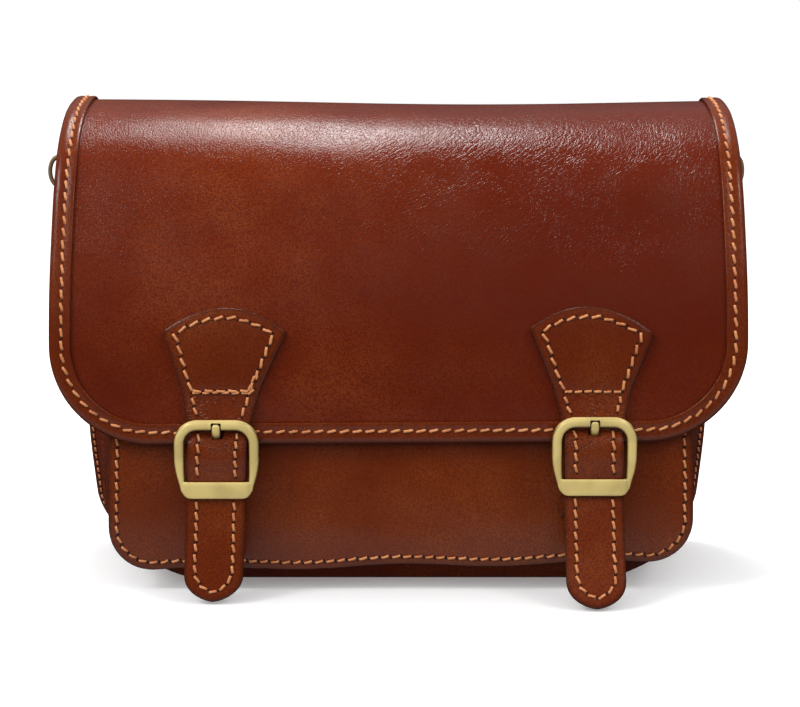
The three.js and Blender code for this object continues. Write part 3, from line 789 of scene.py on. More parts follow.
class Effects:
    """The effects that the finishes share."""

    def __init__(self) -> None:
        """Makes each group once."""
        self.tone = self._tone_and_shade()
        self.grain = self._grain()
        self.creases = self._creases()
        self.slack = self._slack()
        self.burnish = self._burnish()
        self.patina_and_painted_light = self._patina_and_painted_light()
        self.wax = self._wax()

    @staticmethod
    def _tone_and_shade() -> Effect:
        """Cloudy change of a dyed leather's colour, and painted shade that darkens it towards the right and
        up the bag by the given amount.
        """
        effect = Effect(
            "leather_tone_and_shade",
            {"Deep": ("color", (0.1, 0.02, 0.01)), "Middle": ("color", (0.2, 0.04, 0.012)),
             "Warm": ("color", (0.3, 0.06, 0.016)), "Patch": ("float", 22.0), "Shade": ("float", 0.0)},
            {"Color": "color"},
        )
        hand, given = effect.hand, effect.given
        place = effect.place()
        wide = hand.noise(place, given["Patch"], 3.0, 0.55)
        fine = hand.noise(place, hand.math("MULTIPLY", given["Patch"], 60.0), 3.0, 0.6)
        warm = hand.blend(hand.ramp(wide, 0.46, 0.7), given["Middle"], given["Warm"])
        deep = hand.blend(hand.ramp(wide, 0.5, 0.28, 0.0, 0.7), warm, given["Deep"])
        worn = hand.blend(hand.ramp(fine, 0.62, 0.36, 0.0, 0.85), deep, given["Deep"])
        spot = hand.add("SeparateXYZ", Vector=place).outputs
        # Painted shade: blends towards the deep colour towards the right and higher up the bag.
        corner = hand.math("MULTIPLY", hand.ramp(spot["X"], -0.04, 0.05), hand.ramp(spot["Z"], 0.06, 0.12))
        effect.give("Color", hand.blend(hand.math("MULTIPLY", corner, given["Shade"]), worn, given["Deep"]))
        return effect

    @staticmethod
    def _grain() -> Effect:
        """Pores and fine grain of smooth calf: height, and gloss that changes with it."""
        effect = Effect(
            "leather_grain",
            {"Pore": ("float", 1500.0), "Smooth": ("float", 0.3), "Dull": ("float", 0.45)},
            {"Height": "float", "Roughness": "float"},
        )
        hand, given = effect.hand, effect.given
        place = effect.place()
        cells = hand.add("TexVoronoi", {"feature": "F1"}, Vector=place, Scale=given["Pore"])
        pores = hand.ramp(cells.outputs["Distance"], 0.05, 0.55)
        mottle = hand.noise(place, hand.math("MULTIPLY", given["Pore"], 0.35), 4.0, 0.6)
        height = hand.math("ADD", pores, hand.math("MULTIPLY", mottle, 1.4))
        effect.give("Height", height)
        patch = hand.noise(place, 45.0, 3.0)
        gloss = hand.math("MULTIPLY_ADD", mottle, 0.5, hand.math("MULTIPLY", patch, 0.5))
        effect.give("Roughness", hand.ramp(gloss, 0.3, 0.7, given["Smooth"], given["Dull"]))
        return effect

    @staticmethod
    def _creases() -> Effect:
        """Fine creases of worked leather, in a soft zone."""
        effect = Effect(
            "leather_creases",
            {"Centre": ("vector", (0.0, 0.0, 0.0)), "Reach": ("vector", (1.0, 1.0, 1.0)),
             "Turn": ("vector", (0.0, 0.0, 0.0)), "Stretch": ("vector", (1.0, 1.0, 1.0)),
             "Cell": ("float", 330.0)},
            {"Height": "float"},
        )
        hand, given = effect.hand, effect.given
        place = effect.place()
        away = hand.vector("SUBTRACT", place, given["Centre"]).outputs[0]
        away = hand.vector("DIVIDE", away, given["Reach"]).outputs[0]
        far = hand.vector("LENGTH", away).outputs["Value"]
        drift = hand.noise(place, 26.0, 3.0)
        mask = hand.ramp(hand.math("MULTIPLY_ADD", drift, 0.9, hand.math("SUBTRACT", far, 0.45)), 1.0, 0.3)
        bend = hand.add("TexNoise", Vector=place, Scale=38.0, Detail=3.0).outputs["Color"]
        shift = hand.vector("SCALE", bend)
        hand.feed(shift, "Scale", 0.009)
        turned = hand.add(
            "Mapping", {"vector_type": "TEXTURE"}, Rotation=given["Turn"], Scale=given["Stretch"],
            Vector=hand.vector("ADD", place, shift.outputs[0]).outputs[0],
        )
        lines = hand.add(
            "TexVoronoi", {"feature": "DISTANCE_TO_EDGE"}, Scale=given["Cell"], Vector=turned.outputs[0],
        )
        fold = hand.ramp(lines.outputs["Distance"], 0.0, 0.22)
        gaps = hand.ramp(hand.noise(place, 60.0, 2.0), 0.32, 0.6, 0.3, 1.0)
        effect.give("Height", hand.math("MULTIPLY", hand.math("MULTIPLY", fold, mask), gaps))
        return effect

    @staticmethod
    def _slack() -> Effect:
        """Soft swells of leather that hangs loose."""
        effect = Effect("leather_slack", {"Patch": ("float", 20.0)}, {"Height": "float"})
        hand, given = effect.hand, effect.given
        turn = (0.0, math.radians(35.0), 0.0)
        lean = hand.add("Mapping", Rotation=turn, Scale=(0.7, 1.0, 1.3), Vector=effect.place())
        effect.give("Height", hand.noise(lean.outputs[0], given["Patch"], 1.5, 0.45))
        return effect

    @staticmethod
    def _burnish() -> Effect:
        """Darkening of a colour along cut and pressed edges."""
        effect = Effect(
            "edge_burnish",
            {"Color": ("color", (0.2, 0.04, 0.012)), "Burnt": ("color", (0.03, 0.01, 0.006)),
             "Amount": ("float", 0.6)},
            {"Color": "color"},
        )
        hand, given = effect.hand, effect.given
        near = hand.add("Attribute", {"attribute_name": "rim"}).outputs["Fac"]
        ragged = hand.noise(effect.place(), 240.0, 3.0)
        mask = hand.ramp(hand.math("MULTIPLY_ADD", ragged, 0.25, near), 0.45, 1.15)
        share = hand.math("MULTIPLY", mask, given["Amount"])
        effect.give("Color", hand.blend(share, given["Color"], given["Burnt"]))
        return effect

    @staticmethod
    def _patina_and_painted_light() -> Effect:
        """Antique brass: worn bright on faces to the front and back, with painted highlight there and on
        faces turned up; darker on flanks, from age and painted shade; dark where other surfaces lie close,
        from tarnish in hollows and painted shade between parts.
        """
        effect = Effect(
            "brass_patina_and_painted_light",
            {"Bright": ("color", (0.6, 0.48, 0.22)), "Aged": ("color", (0.16, 0.11, 0.04)),
             "Dark": ("color", (0.02, 0.013, 0.006))},
            {"Color": "color", "Roughness": "float", "Height": "float"},
        )
        hand, given = effect.hand, effect.given
        place = effect.place()
        cloud = hand.noise(place, 110.0, 1.0, 0.4)
        facing = hand.add("SeparateXYZ", Vector=hand.add("TexCoord").outputs["Normal"]).outputs
        # Faces to the front and back: worn bright, partly painted highlight; flanks stay darker, partly
        # painted shade.
        face = hand.ramp(hand.math("ABSOLUTE", facing["Y"]), 0.38, 0.94)
        # Faces turned up: painted highlight.
        outer = hand.math("MAXIMUM", face, hand.ramp(facing["Z"], 0.35, 0.75))
        shine = hand.math("MULTIPLY", outer, hand.ramp(cloud, 0.3, 0.65, 0.8, 1.0))
        worn_and_lit = hand.blend(shine, given["Aged"], given["Bright"])
        # Darker where other surfaces lie close: tarnish in hollows, and painted shade between parts.
        hollow = hand.add("AmbientOcclusion", {"samples": 8}, Distance=0.0035).outputs["AO"]
        effect.give("Color", hand.blend(hand.ramp(hollow, 0.85, 0.3), worn_and_lit, given["Dark"]))
        effect.give("Roughness", hand.ramp(cloud, 0.3, 0.7, 0.26, 0.38))
        brush = hand.add("Mapping", Scale=(1.0, 6.0, 9.0), Vector=place).outputs[0]
        effect.give("Height", hand.noise(brush, 420.0, 3.0))
        return effect

    @staticmethod
    def _wax() -> Effect:
        """Waxed thread: flecked by fine fibres, darker where they stand up, and stained in patches."""
        effect = Effect(
            "waxed_thread",
            {"Light": ("color", (0.9, 0.45, 0.18)), "Stained": ("color", (0.5, 0.18, 0.05))},
            {"Color": "color", "Height": "float"},
        )
        hand, given = effect.hand, effect.given
        place = effect.place()
        stain = hand.noise(place, 130.0, 3.0)
        fibre = hand.noise(place, 2600.0, 3.0, 0.7)
        share = hand.math("MULTIPLY_ADD", fibre, 0.45, hand.math("MULTIPLY", stain, 0.75))
        effect.give("Color", hand.blend(hand.ramp(share, 0.4, 0.85), given["Light"], given["Stained"]))
        effect.give("Height", fibre)
        return effect


def new_material(name: str) -> tuple[bpy.types.Material, NodeHand, bpy.types.Node]:
    """A new material, a hand for its nodes, and its shader."""
    material = bpy.data.materials.new(name)
    material.use_nodes = True
    return material, NodeHand(material.node_tree), material.node_tree.nodes["Principled BSDF"]


@dataclass(frozen=True)
class CreaseZone:
    """Where and how leather is creased: metres, degrees and cells a metre."""

    centre: Spot
    reach: Spot
    turn: float
    stretch: Spot
    cell: float
    depth: float


@dataclass(frozen=True)
class LeatherFinish:
    """Dyed, waxed calf leather."""

    name: str
    deep: Colour
    middle: Colour
    warm: Colour
    burnt: Colour = (0.030, 0.010, 0.006)
    burnish: float = 0.55
    smooth: float = 0.15
    dull: float = 0.28
    specular: float = 0.33
    coat: float = 0.12
    coat_roughness: float = 0.16
    grain_depth: float = 0.0001
    grain_strength: float = 0.5
    fold_strength: float = 0.8
    slack: float = 0.0
    # How strongly painted shade darkens the right and upper part of the leather.
    shade: float = 0.0
    zones: tuple[CreaseZone, ...] = ()

    def make(self, effects: Effects) -> bpy.types.Material:
        """The material.

        Args:
            effects: The shared effects.

        Returns:
            Toned, grained and burnished leather.
        """
        material, hand, skin = new_material(self.name)
        tone = effects.tone.use(hand, Deep=self.deep, Middle=self.middle, Warm=self.warm, Shade=self.shade)
        edge = effects.burnish.use(hand, Color=tone.outputs["Color"], Burnt=self.burnt, Amount=self.burnish)
        grain = effects.grain.use(hand, Smooth=self.smooth, Dull=self.dull)
        hand.feed(skin, "Base Color", edge.outputs["Color"])
        hand.feed(skin, "Roughness", grain.outputs["Roughness"])
        hand.feed(skin, "Specular IOR Level", self.specular)
        hand.feed(skin, "Coat Weight", self.coat)
        hand.feed(skin, "Coat Roughness", self.coat_roughness)
        bump = hand.add(
            "Bump", Strength=self.grain_strength, Distance=self.grain_depth, Height=grain.outputs["Height"],
        )
        if self.slack:
            swell = effects.slack.use(hand).outputs["Height"]
            bump = hand.add("Bump", Strength=1.0, Distance=self.slack, Height=swell, Normal=bump.outputs[0])
        for zone in self.zones:
            fold = effects.creases.use(
                hand, Centre=zone.centre, Reach=zone.reach, Turn=(0.0, math.radians(zone.turn), 0.0),
                Stretch=zone.stretch, Cell=zone.cell,
            )
            bump = hand.add(
                "Bump", Strength=self.fold_strength, Distance=zone.depth, Height=fold.outputs["Height"],
                Normal=bump.outputs[0],
            )
        hand.feed(skin, "Normal", bump.outputs[0])
        hand.feed(skin, "Coat Normal", bump.outputs[0])
        return material


@dataclass(frozen=True)
class BrassFinish:
    """Cast brass, worn bright on its faces and darker on its flanks, with painted highlight on faces turned
    to the front, back and up, and painted shade on the flanks and near other parts.
    """

    name: str
    bright: Colour = (1.0, 0.77, 0.29)
    aged_and_shaded: Colour = (0.12, 0.075, 0.022)
    dark: Colour = (0.035, 0.022, 0.009)
    metal: float = 0.18
    brush_depth: float = 0.00001
    brush_strength: float = 0.2

    def make(self, effects: Effects) -> bpy.types.Material:
        """The material."""
        material, hand, skin = new_material(self.name)
        metal = effects.patina_and_painted_light.use(hand, Bright=self.bright, Aged=self.aged_and_shaded, Dark=self.dark)
        hand.feed(skin, "Metallic", self.metal)
        hand.feed(skin, "Base Color", metal.outputs["Color"])
        hand.feed(skin, "Roughness", metal.outputs["Roughness"])
        bump = hand.add(
            "Bump", Strength=self.brush_strength, Distance=self.brush_depth, Height=metal.outputs["Height"],
        )
        hand.feed(skin, "Normal", bump.outputs[0])
        return material


@dataclass(frozen=True)
class ThreadFinish:
    """Waxed thread, or the painted shade of a needle hole."""

    name: str
    light: Colour
    stained: Colour
    roughness: float
    fibre_depth: float = 0.00005
    fibre_strength: float = 0.4

    def make(self, effects: Effects) -> bpy.types.Material:
        """The material."""
        material, hand, skin = new_material(self.name)
        wax = effects.wax.use(hand, Light=self.light, Stained=self.stained)
        hand.feed(skin, "Base Color", wax.outputs["Color"])
        hand.feed(skin, "Roughness", self.roughness)
        bump = hand.add(
            "Bump", Strength=self.fibre_strength, Distance=self.fibre_depth, Height=wax.outputs["Height"],
        )
        hand.feed(skin, "Normal", bump.outputs[0])
        return material


class Finishes:
    """All the finishes of the bag."""

    FLAP_CREASES = (
        CreaseZone((0.045, -0.010, 0.160), (0.125, 0.080, 0.056), -38.0, (1.0, 1.0, 0.27), 190.0, 0.00011),
        CreaseZone((0.090, -0.015, 0.158), (0.065, 0.070, 0.055), -74.0, (1.0, 1.0, 0.27), 170.0, 0.00009),
        CreaseZone((0.0, -0.01, 0.175), (0.30, 0.20, 0.12), 20.0, (1.0, 1.0, 0.8), 760.0, 0.00003),
    )
    NECK_CREASES = (
        CreaseZone((-0.0700, -0.052, 0.077), (0.030, 0.030, 0.017), -12.0, (1.0, 1.0, 0.6), 430.0, 0.00024),
        CreaseZone((0.0770, -0.052, 0.077), (0.030, 0.030, 0.017), 16.0, (1.0, 1.0, 0.6), 430.0, 0.00016),
        CreaseZone((-0.0705, -0.055, 0.065), (0.016, 0.020, 0.0070), 70.0, (1.0, 1.0, 0.7), 900.0, 0.00032),
        CreaseZone((0.0735, -0.055, 0.066), (0.013, 0.020, 0.0070), 60.0, (1.0, 1.0, 0.7), 900.0, 0.00026),
    )

    def __init__(self) -> None:
        """Makes the materials."""
        effects = Effects()
        # The body leather carries painted shade towards its right and upper part.
        self.body = LeatherFinish(
            "body_leather", (0.125, 0.0120, 0.0025), (0.182, 0.0230, 0.0036), (0.235, 0.0380, 0.0058),
            slack=0.0016, shade=0.8, zones=self.FLAP_CREASES,
        ).make(effects)
        # The front panel's leather is a lighter copy of the body leather: painted light, as bounced up from
        # the floor.
        self.front = LeatherFinish(
            "front_lit_leather", (0.145, 0.0190, 0.0036), (0.205, 0.0350, 0.0056), (0.250, 0.0480, 0.0080),
            slack=0.0016,
        ).make(effects)
        self.trim = LeatherFinish(
            "trim_leather", (0.125, 0.0150, 0.0028), (0.184, 0.0280, 0.0036), (0.235, 0.0430, 0.0056),
            zones=self.NECK_CREASES,
        ).make(effects)
        self.brass = BrassFinish("antique_brass").make(effects)
        # The ring's brass is a darker copy of the buckle brass: painted shade.
        self.ring = BrassFinish("shaded_brass", (0.34, 0.23, 0.12), (0.11, 0.065, 0.03)).make(effects)
        self.thread = ThreadFinish(
            "orange_thread", (0.88, 0.375, 0.15), (0.58, 0.18, 0.055), 0.42,
        ).make(effects)
        # Needle holes: painted shade.
        self.hole = ThreadFinish(
            "needle_hole", (0.016, 0.007, 0.004), (0.005, 0.003, 0.002), 0.75,
        ).make(effects)


# Pieces of the body


def settle(piece: bpy.types.Object, nodes: Sequence[str] = (), body: str = BAG) -> None:
    """Ties a piece to the frame.

    Args:
        piece: The piece.
        nodes: The frame's nodes that it stands for.
        body: The body that it moves with.
    """
    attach(piece, body)
    if nodes:
        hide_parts(*nodes)
    LOG.info("%s: %d faces", piece.name, len(piece.data.polygons))


def sew(name: str, finishes: Finishes, *seams: Seam) -> None:
    """Makes the stitches of a piece's seams as one piece."""
    shape = Shape()
    for seam in seams:
        shape.join(seam.shape())
    settle(shape.make(name, finishes.thread, finishes.hole))


def groove(grid: Array, lines: Sequence[Array], depth: float, reach: float = 1.9) -> Array:
    """How far stitches draw leather in: a soft groove along each line."""
    pull = np.zeros(grid.shape[:2])
    for line in lines:
        pull = np.maximum(pull, nearness(grid, evenly_along(line, 0.4), reach))
    return -depth * pull**2


@dataclass(frozen=True)
class BackPanel:
    """The flat back, sewn to the gusset round its sides and bottom."""

    pitch: float = 2.2
    seam_inset: float = 1.9
    seam_top: float = 171.0
    edge: float = 0.4
    softness: float = 0.2
    soft_wave: float = 70.0
    groove_depth: float = 0.25
    corner_steps: int = 18

    def outline(self, inset: float, top: float) -> Array:
        """Half widths and heights of the right half of the outline, from the bottom up."""
        angle = np.linspace(0.0, math.pi / 2, self.corner_steps + 1)
        radius = BACK.corner - inset
        z = BACK.corner - radius * np.cos(angle)
        half = BACK.half(z) - BACK.corner + radius * np.sin(angle)
        high = np.linspace(BACK.corner, top, even_steps(top - BACK.corner, self.pitch) + 1)[1:]
        return np.column_stack([np.append(half, BACK.half(high) - inset), np.append(z, high)])

    def seam(self, y: float, facing: float) -> Seam:
        """The seam round the sides and the bottom.

        Args:
            y: Where the sewn face lies.
            facing: 1 for a face to the back, -1 for one to the front.

        Returns:
            The seam, from one upper end to the other.
        """
        half = self.outline(self.seam_inset, self.seam_top)
        flat = np.vstack([half[::-1] * (-1, 1), half])
        line = np.column_stack([flat[:, 0] + BACK.shift_x, np.full(len(flat), y), flat[:, 1]])
        line = evenly_along(line, 1.0)
        thread = Thread(radius=0.44, stitch=2.6, pitch=3.1, hole=0.4)
        return Seam(line, np.tile((0.0, facing, 0.0), (len(line), 1)), thread)

    def build(self, finishes: Finishes) -> None:
        """Makes the panel and the seam on its outer face."""
        rows = self.outline(self.edge, BACK.top)
        across = np.linspace(1.0, -1.0, even_steps(2 * BACK.half_width, self.pitch) + 1)
        x = BACK.shift_x + rows[:, :1] * across
        z = np.broadcast_to(rows[:, 1:], x.shape)
        middle = BACK.face - THICK.body / 2
        hills = Unevenness(SEED + 1, self.soft_wave)
        soft = self.softness * hills(np.stack([x, np.zeros_like(x), z], axis=-1))
        soft *= smoothstep(BACK.half_width - np.abs(x), 12.0, 40.0) * smoothstep(z, 14.0, 40.0)
        grid = np.stack([x, middle + soft * (1.0 - smoothstep(z, 140.0, 158.0)), z], axis=-1)
        seam = self.seam(BACK.face, 1.0)
        sunk = groove(grid, [seam.line - (0.0, THICK.body / 2, 0.0)], self.groove_depth)
        sheet = Sheet(grid, THICK.body, relief=sunk)
        settle(sheet.shape().make("back_panel_leather", finishes.body), ["back_panel"])
        sew("back_panel_stitches", finishes, seam)


@dataclass(frozen=True)
class Gusset:
    """One strip round both sides and the bottom, flaring from the front to the back."""

    flange: float = 8.0
    edge: float = 0.4
    fold: float = 2.4
    front_half: float = 116.2
    front_bottom: float = 14.0
    front_top: float = 148.0
    back_top: float = 172.0
    corner: float = 17.0
    front_rise: float = 0.24
    back_rise: float = 0.84
    side_belly: float = 3.0
    rest_start: float = 0.72
    softness: float = 0.7
    soft_wave: float = 48.0
    groove_depth: float = 0.2
    side_steps: int = 56
    corner_steps: int = 12
    bottom_steps: int = 80
    wall_steps: int = 26

    def _ends(self, top: float, bottom: float, half: Callable[[Array], Array]) -> tuple[Array, ...]:
        """A U's stations in front view.

        Args:
            top: Height of its upper ends.
            bottom: Height of its bottom.
            half: Half its width at a height.

        Returns:
            Places x and z, and the directions out of the U.
        """
        start = bottom + self.corner
        side = np.linspace(top, start, self.side_steps, endpoint=False)
        angle = np.linspace(0.0, math.pi / 2, self.corner_steps, endpoint=False)
        turn = start - self.corner * np.sin(angle)
        x = np.append(half(side), half(turn) - self.corner * (1.0 - np.cos(angle)))
        z = np.append(side, turn)
        out_x = np.append(np.ones_like(side), np.cos(angle))
        out_z = np.append(np.zeros_like(side), -np.sin(angle))
        reach = half(np.array(bottom)) - self.corner
        flat = np.linspace(-reach, reach, self.bottom_steps + 1)
        level, none = np.full_like(flat, bottom), np.zeros_like(flat)
        return (
            np.concatenate([-x, flat, x[::-1]]), np.concatenate([z, level, z[::-1]]),
            np.concatenate([-out_x, none, out_x[::-1]]), np.concatenate([out_z, none - 1.0, out_z[::-1]]),
        )

    def _section(self, depth: Array) -> tuple[Array, Array]:
        """The section from the front flange over both folds to the back flange.

        Args:
            depth: Distances from front to back at the U's stations.

        Returns:
            Distances out of the U, and shares of the depth.
        """
        turn = np.linspace(0.0, math.pi / 2, 6)
        tuck = np.linspace(-self.flange, -self.fold, 4, endpoint=False)
        walls = np.linspace(0.0, 1.0, self.wall_steps + 2)[1:-1]
        spread = np.linspace(self.fold, self.flange - self.edge, 5)[1:]
        small = self.fold / depth[:, None]
        still = np.zeros_like(walls)
        out = np.concatenate([
            tuck, self.fold * (np.sin(turn) - 1.0), still, self.fold * (1.0 - np.cos(turn)), spread,
        ])
        share = np.concatenate([
            0.0 * small * tuck, small * (1.0 - np.cos(turn)), small + (1.0 - 2.0 * small) * walls,
            1.0 - small * (1.0 - np.sin(turn)), 1.0 + 0.0 * small * spread,
        ], axis=1)
        return np.broadcast_to(out, share.shape), share

    def build(self, finishes: Finishes, back: BackPanel) -> None:
        """Makes the strip and the back seam on its flange."""
        half = THICK.gusset / 2
        back_y = BACK.face - THICK.body - THICK.gap - half
        near = self._ends(self.front_top, self.front_bottom, lambda z: self.front_half + 0.0 * z)
        far = self._ends(self.back_top, self.flange + THICK.gap, lambda z: BACK.half(z) - self.flange)
        near_x, near_z, out_x, out_z = (row[:, None] for row in near)
        far_x, far_z = far[0][:, None], far[1][:, None]
        near_y = FRONT.y(near_z) + THICK.body / 2 + 2 * THICK.gap + half
        out, share = self._section((back_y - near_y)[:, 0])
        swell = self.side_belly * np.sin(math.pi * share) * np.abs(out_x)
        down = smoothstep(share, 0.0, self.front_rise) * (1.0 - smoothstep(share, self.back_rise, 1.0))
        z = lerp(near_z, far_z, share)
        flat = 1.0 - smoothstep(np.abs(near_x) / self.front_half, self.rest_start, 1.0)
        x = lerp(near_x + FRONT.SHIFT_X, far_x + BACK.shift_x, share) + (out + swell) * out_x
        z = z - (z - half) * down * flat + out * out_z
        grid = np.stack([x, lerp(near_y, back_y, share), z], axis=-1)
        inside = np.sin(math.pi * np.clip(share, 0.0, 1.0))
        soft = Unevenness(SEED + 2, self.soft_wave)(grid) * inside * np.abs(out_x)
        grid[..., 0] += self.softness * soft * np.sign(out_x)
        seam = back.seam(back_y - half, -1.0)
        sunk = groove(grid, [seam.line + (0.0, half, 0.0)], self.groove_depth)
        sheet = Sheet(grid, THICK.gusset, relief=sunk)
        settle(sheet.shape().make("gusset_leather", finishes.body), ["gusset"])
        sew("gusset_stitches", finishes, seam)


@dataclass(frozen=True)
class FrontPanel:
    """The crowned front, sewn to the gusset round its sides and bottom."""

    pitch: float = 1.7
    seam_inset: float = 3.1
    softness: float = 0.24
    soft_wave: float = 44.0
    groove_depth: float = 0.32
    corner_steps: int = 20

    def outline(self, inset: float) -> Array:
        """Half widths and rises of the right half of the outline, from the lip up."""
        angle = np.linspace(0.0, math.pi / 2, self.corner_steps + 1)
        radius = FRONT.CORNER - inset
        rise = FRONT.CORNER - radius * np.cos(angle)
        half = FRONT.half(FRONT.LIP + rise) - FRONT.CORNER + radius * np.sin(angle)
        height = FRONT.TOP - FRONT.LIP
        high = np.linspace(FRONT.CORNER, height, even_steps(height - FRONT.CORNER, self.pitch) + 1)[1:]
        return np.column_stack([
            np.append(half, FRONT.half(FRONT.LIP + high) - inset), np.append(rise, high),
        ])

    @staticmethod
    def normals(points: Array) -> Array:
        """Directions off the front face."""
        z = points[..., 2]
        slope = (FRONT.y(z + 1.0) - FRONT.y(z - 1.0)) / 2.0
        return unit(np.stack([np.zeros_like(z), np.full_like(z, -1.0), slope], axis=-1))

    def seam(self) -> Seam:
        """The seam round the sides and the lip."""
        half = self.outline(self.seam_inset)[:-1]
        flat = evenly_along(np.vstack([half[::-1] * (-1, 1), half]), 1.0)
        points = FRONT.place(flat[:, 0], flat[:, 1])
        normals = self.normals(points)
        thread = Thread(pitch=4.5, stitch=3.9, radius=0.52)
        return Seam(points + normals * (THICK.body / 2), normals, thread, SEED + 3)

    def build(self, finishes: Finishes) -> None:
        """Makes the panel and its seam."""
        rows = self.outline(0.0)
        across = np.linspace(-1.0, 1.0, even_steps(2 * FRONT.HALF_WIDTH, self.pitch) + 1)
        x = rows[:, :1] * across
        grid = FRONT.place(x, np.broadcast_to(rows[:, 1:], x.shape))
        free = smoothstep(FRONT.HALF_WIDTH - np.abs(x), 8.0, 30.0) * smoothstep(rows[:, 1:], 6.0, 24.0)
        normals = self.normals(grid)
        soft = self.softness * free * Unevenness(SEED + 4, self.soft_wave)(grid)
        grid = grid + normals * soft[..., None]
        seam = self.seam()
        sunk = groove(grid, [seam.line - seam.normals * (THICK.body / 2)], self.groove_depth)
        sheet = Sheet(grid, THICK.body, relief=sunk, edge_drop=0.2)
        # The front panel wears the lighter copy of the body leather, painted light.
        settle(sheet.shape().make("front_panel_leather", finishes.front), ["front_panel"])
        sew("front_panel_stitches", finishes, seam)


@dataclass(frozen=True)
class FlapPiece:
    """The flap, sewn to the back along its lap."""

    pitch: float = 2.1
    corner_steps: int = 26
    lap_rows: tuple[float, ...] = (3.6, 8.2)
    lap_reach: float = 132.0
    groove_depth: float = 0.25

    def rows(self) -> Array:
        """Lengths along the flap and half widths, round its lower corners."""
        straight = FLAP.length - FLAP.CORNER
        side = np.linspace(0.0, straight, even_steps(straight, self.pitch) + 1)
        angle = np.linspace(0.0, math.pi / 2, self.corner_steps + 1)[1:]
        along = np.append(side, straight + FLAP.CORNER * np.sin(angle))
        turn = FLAP.HALF_WIDTH - FLAP.CORNER * (1.0 - np.cos(angle))
        half = np.append(np.full_like(side, FLAP.HALF_WIDTH), turn)
        return np.column_stack([along, half])

    def lap_seams(self) -> list[Seam]:
        """Two lines of stitches across the lap."""
        x = np.arange(-self.lap_reach, self.lap_reach + 1.0, 1.0)
        seams = []
        for along in self.lap_rows:
            line = FLAP.place(np.full_like(x, along), x, THICK.flap / 2)
            seams.append(Seam(line, FLAP.normals(np.full_like(x, along), x), Thread(), SEED + 5))
        return seams

    def build(self, finishes: Finishes) -> None:
        """Makes the flap and the stitches of its lap."""
        rows = self.rows()
        across = np.linspace(1.0, -1.0, even_steps(2 * FLAP.HALF_WIDTH, self.pitch) + 1)
        grid = FLAP.place(rows[:, :1], rows[:, 1:] * across)
        seams = self.lap_seams()
        lines = [seam.line - seam.normals * (THICK.flap / 2) for seam in seams]
        sunk = groove(grid, lines, self.groove_depth)
        sheet = Sheet(grid, THICK.flap, bulge=0.1, rim_reach=2.5, relief=sunk)
        settle(sheet.shape().make("flap_leather", finishes.body), ["flap"])
        sew("flap_lap_stitches", finishes, *seams)


@dataclass(frozen=True)
class FlapBinding:
    """The folded strip sewn round the flap's edge."""

    start_height: float = 190.0
    pitch: float = 1.4
    seam_inward: float = 4.0
    seam_lift: float = 2.1
    skin: tuple[tuple[float, float, float], ...] = (
        (7.60, 1.32, 1.0), (7.60, 1.90, 0.9), (7.48, 2.25, 0.5), (7.10, 2.42, 0.15), (6.40, 2.44, 0.0),
        (5.40, 2.36, 0.0), (4.60, 2.20, 0.1), (4.00, 2.10, 0.2), (3.40, 2.20, 0.1), (2.60, 2.38, 0.0),
        (1.60, 2.46, 0.0), (0.70, 2.34, 0.0), (-0.15, 2.04, 0.0), (-0.80, 1.52, 0.0), (-1.22, 0.82, 0.0),
        (-1.40, 0.00, 0.0),
    )

    def stations(self) -> Array:
        """Places round the edge: length along, x, and the inward direction in those two."""
        corner_start = FLAP.length - FLAP.CORNER
        reach = FLAP.HALF_WIDTH - FLAP.CORNER
        start = FLAP.along_back(self.start_height)
        side = np.linspace(start, corner_start, even_steps(corner_start - start, self.pitch), endpoint=False)
        turns = even_steps(FLAP.CORNER * math.pi / 2, self.pitch)
        angle = np.linspace(0.0, math.pi / 2, turns, endpoint=False)
        sin, cos = np.sin(angle), np.cos(angle)
        edge, none, full = np.full_like(side, -FLAP.HALF_WIDTH), np.zeros_like(side), np.ones_like(side)
        left = np.vstack([
            np.column_stack([side, edge, none, full]),
            np.column_stack([corner_start + FLAP.CORNER * sin, -reach - FLAP.CORNER * cos, -sin, cos]),
        ])
        x = np.linspace(-reach, reach, even_steps(2 * reach, self.pitch) + 1)
        bottom = np.column_stack([np.full_like(x, FLAP.length), x, np.full_like(x, -1.0), np.zeros_like(x)])
        return np.vstack([left, bottom, left[::-1] * (1.0, -1.0, 1.0, -1.0)])

    def _at(self, stations: Array, inward: Array | float, lift: Array | float) -> Array:
        """Points at distances in from the edge and off the flap."""
        along, x, in_along, in_x = stations.T
        return FLAP.place(along + inward * in_along, x + inward * in_x, lift)

    def seam(self, stations: Array) -> Seam:
        """The stitches round the band's outer face."""
        line = self._at(stations, self.seam_inward, self.seam_lift)
        return Seam(line, FLAP.normals(stations[:, 0], stations[:, 1]), Thread(), SEED + 6)

    def build(self, finishes: Finishes) -> None:
        """Makes the strip and its stitches."""
        skin = np.array(self.skin)
        under = skin[-2::-1] * (1.0, -1.0, 1.0)
        inside = np.array([(-THICK.gap, -1.3, 0.0), (-THICK.gap, 1.3, 0.0)])
        section = np.vstack([skin, under, inside])
        stations = self.stations()
        rings = np.stack([self._at(stations, inward, lift) for inward, lift, _ in section], axis=1)
        shape = loft(rings, closed=False, rim=section[:, 2])
        strip = shape.make("flap_binding_leather", finishes.trim)
        strip.data.set_sharp_from_angle(angle=math.radians(60.0))
        settle(strip, ["flap_binding"])
        sew("flap_binding_stitches", finishes, self.seam(stations))


# Straps, buckles and rings


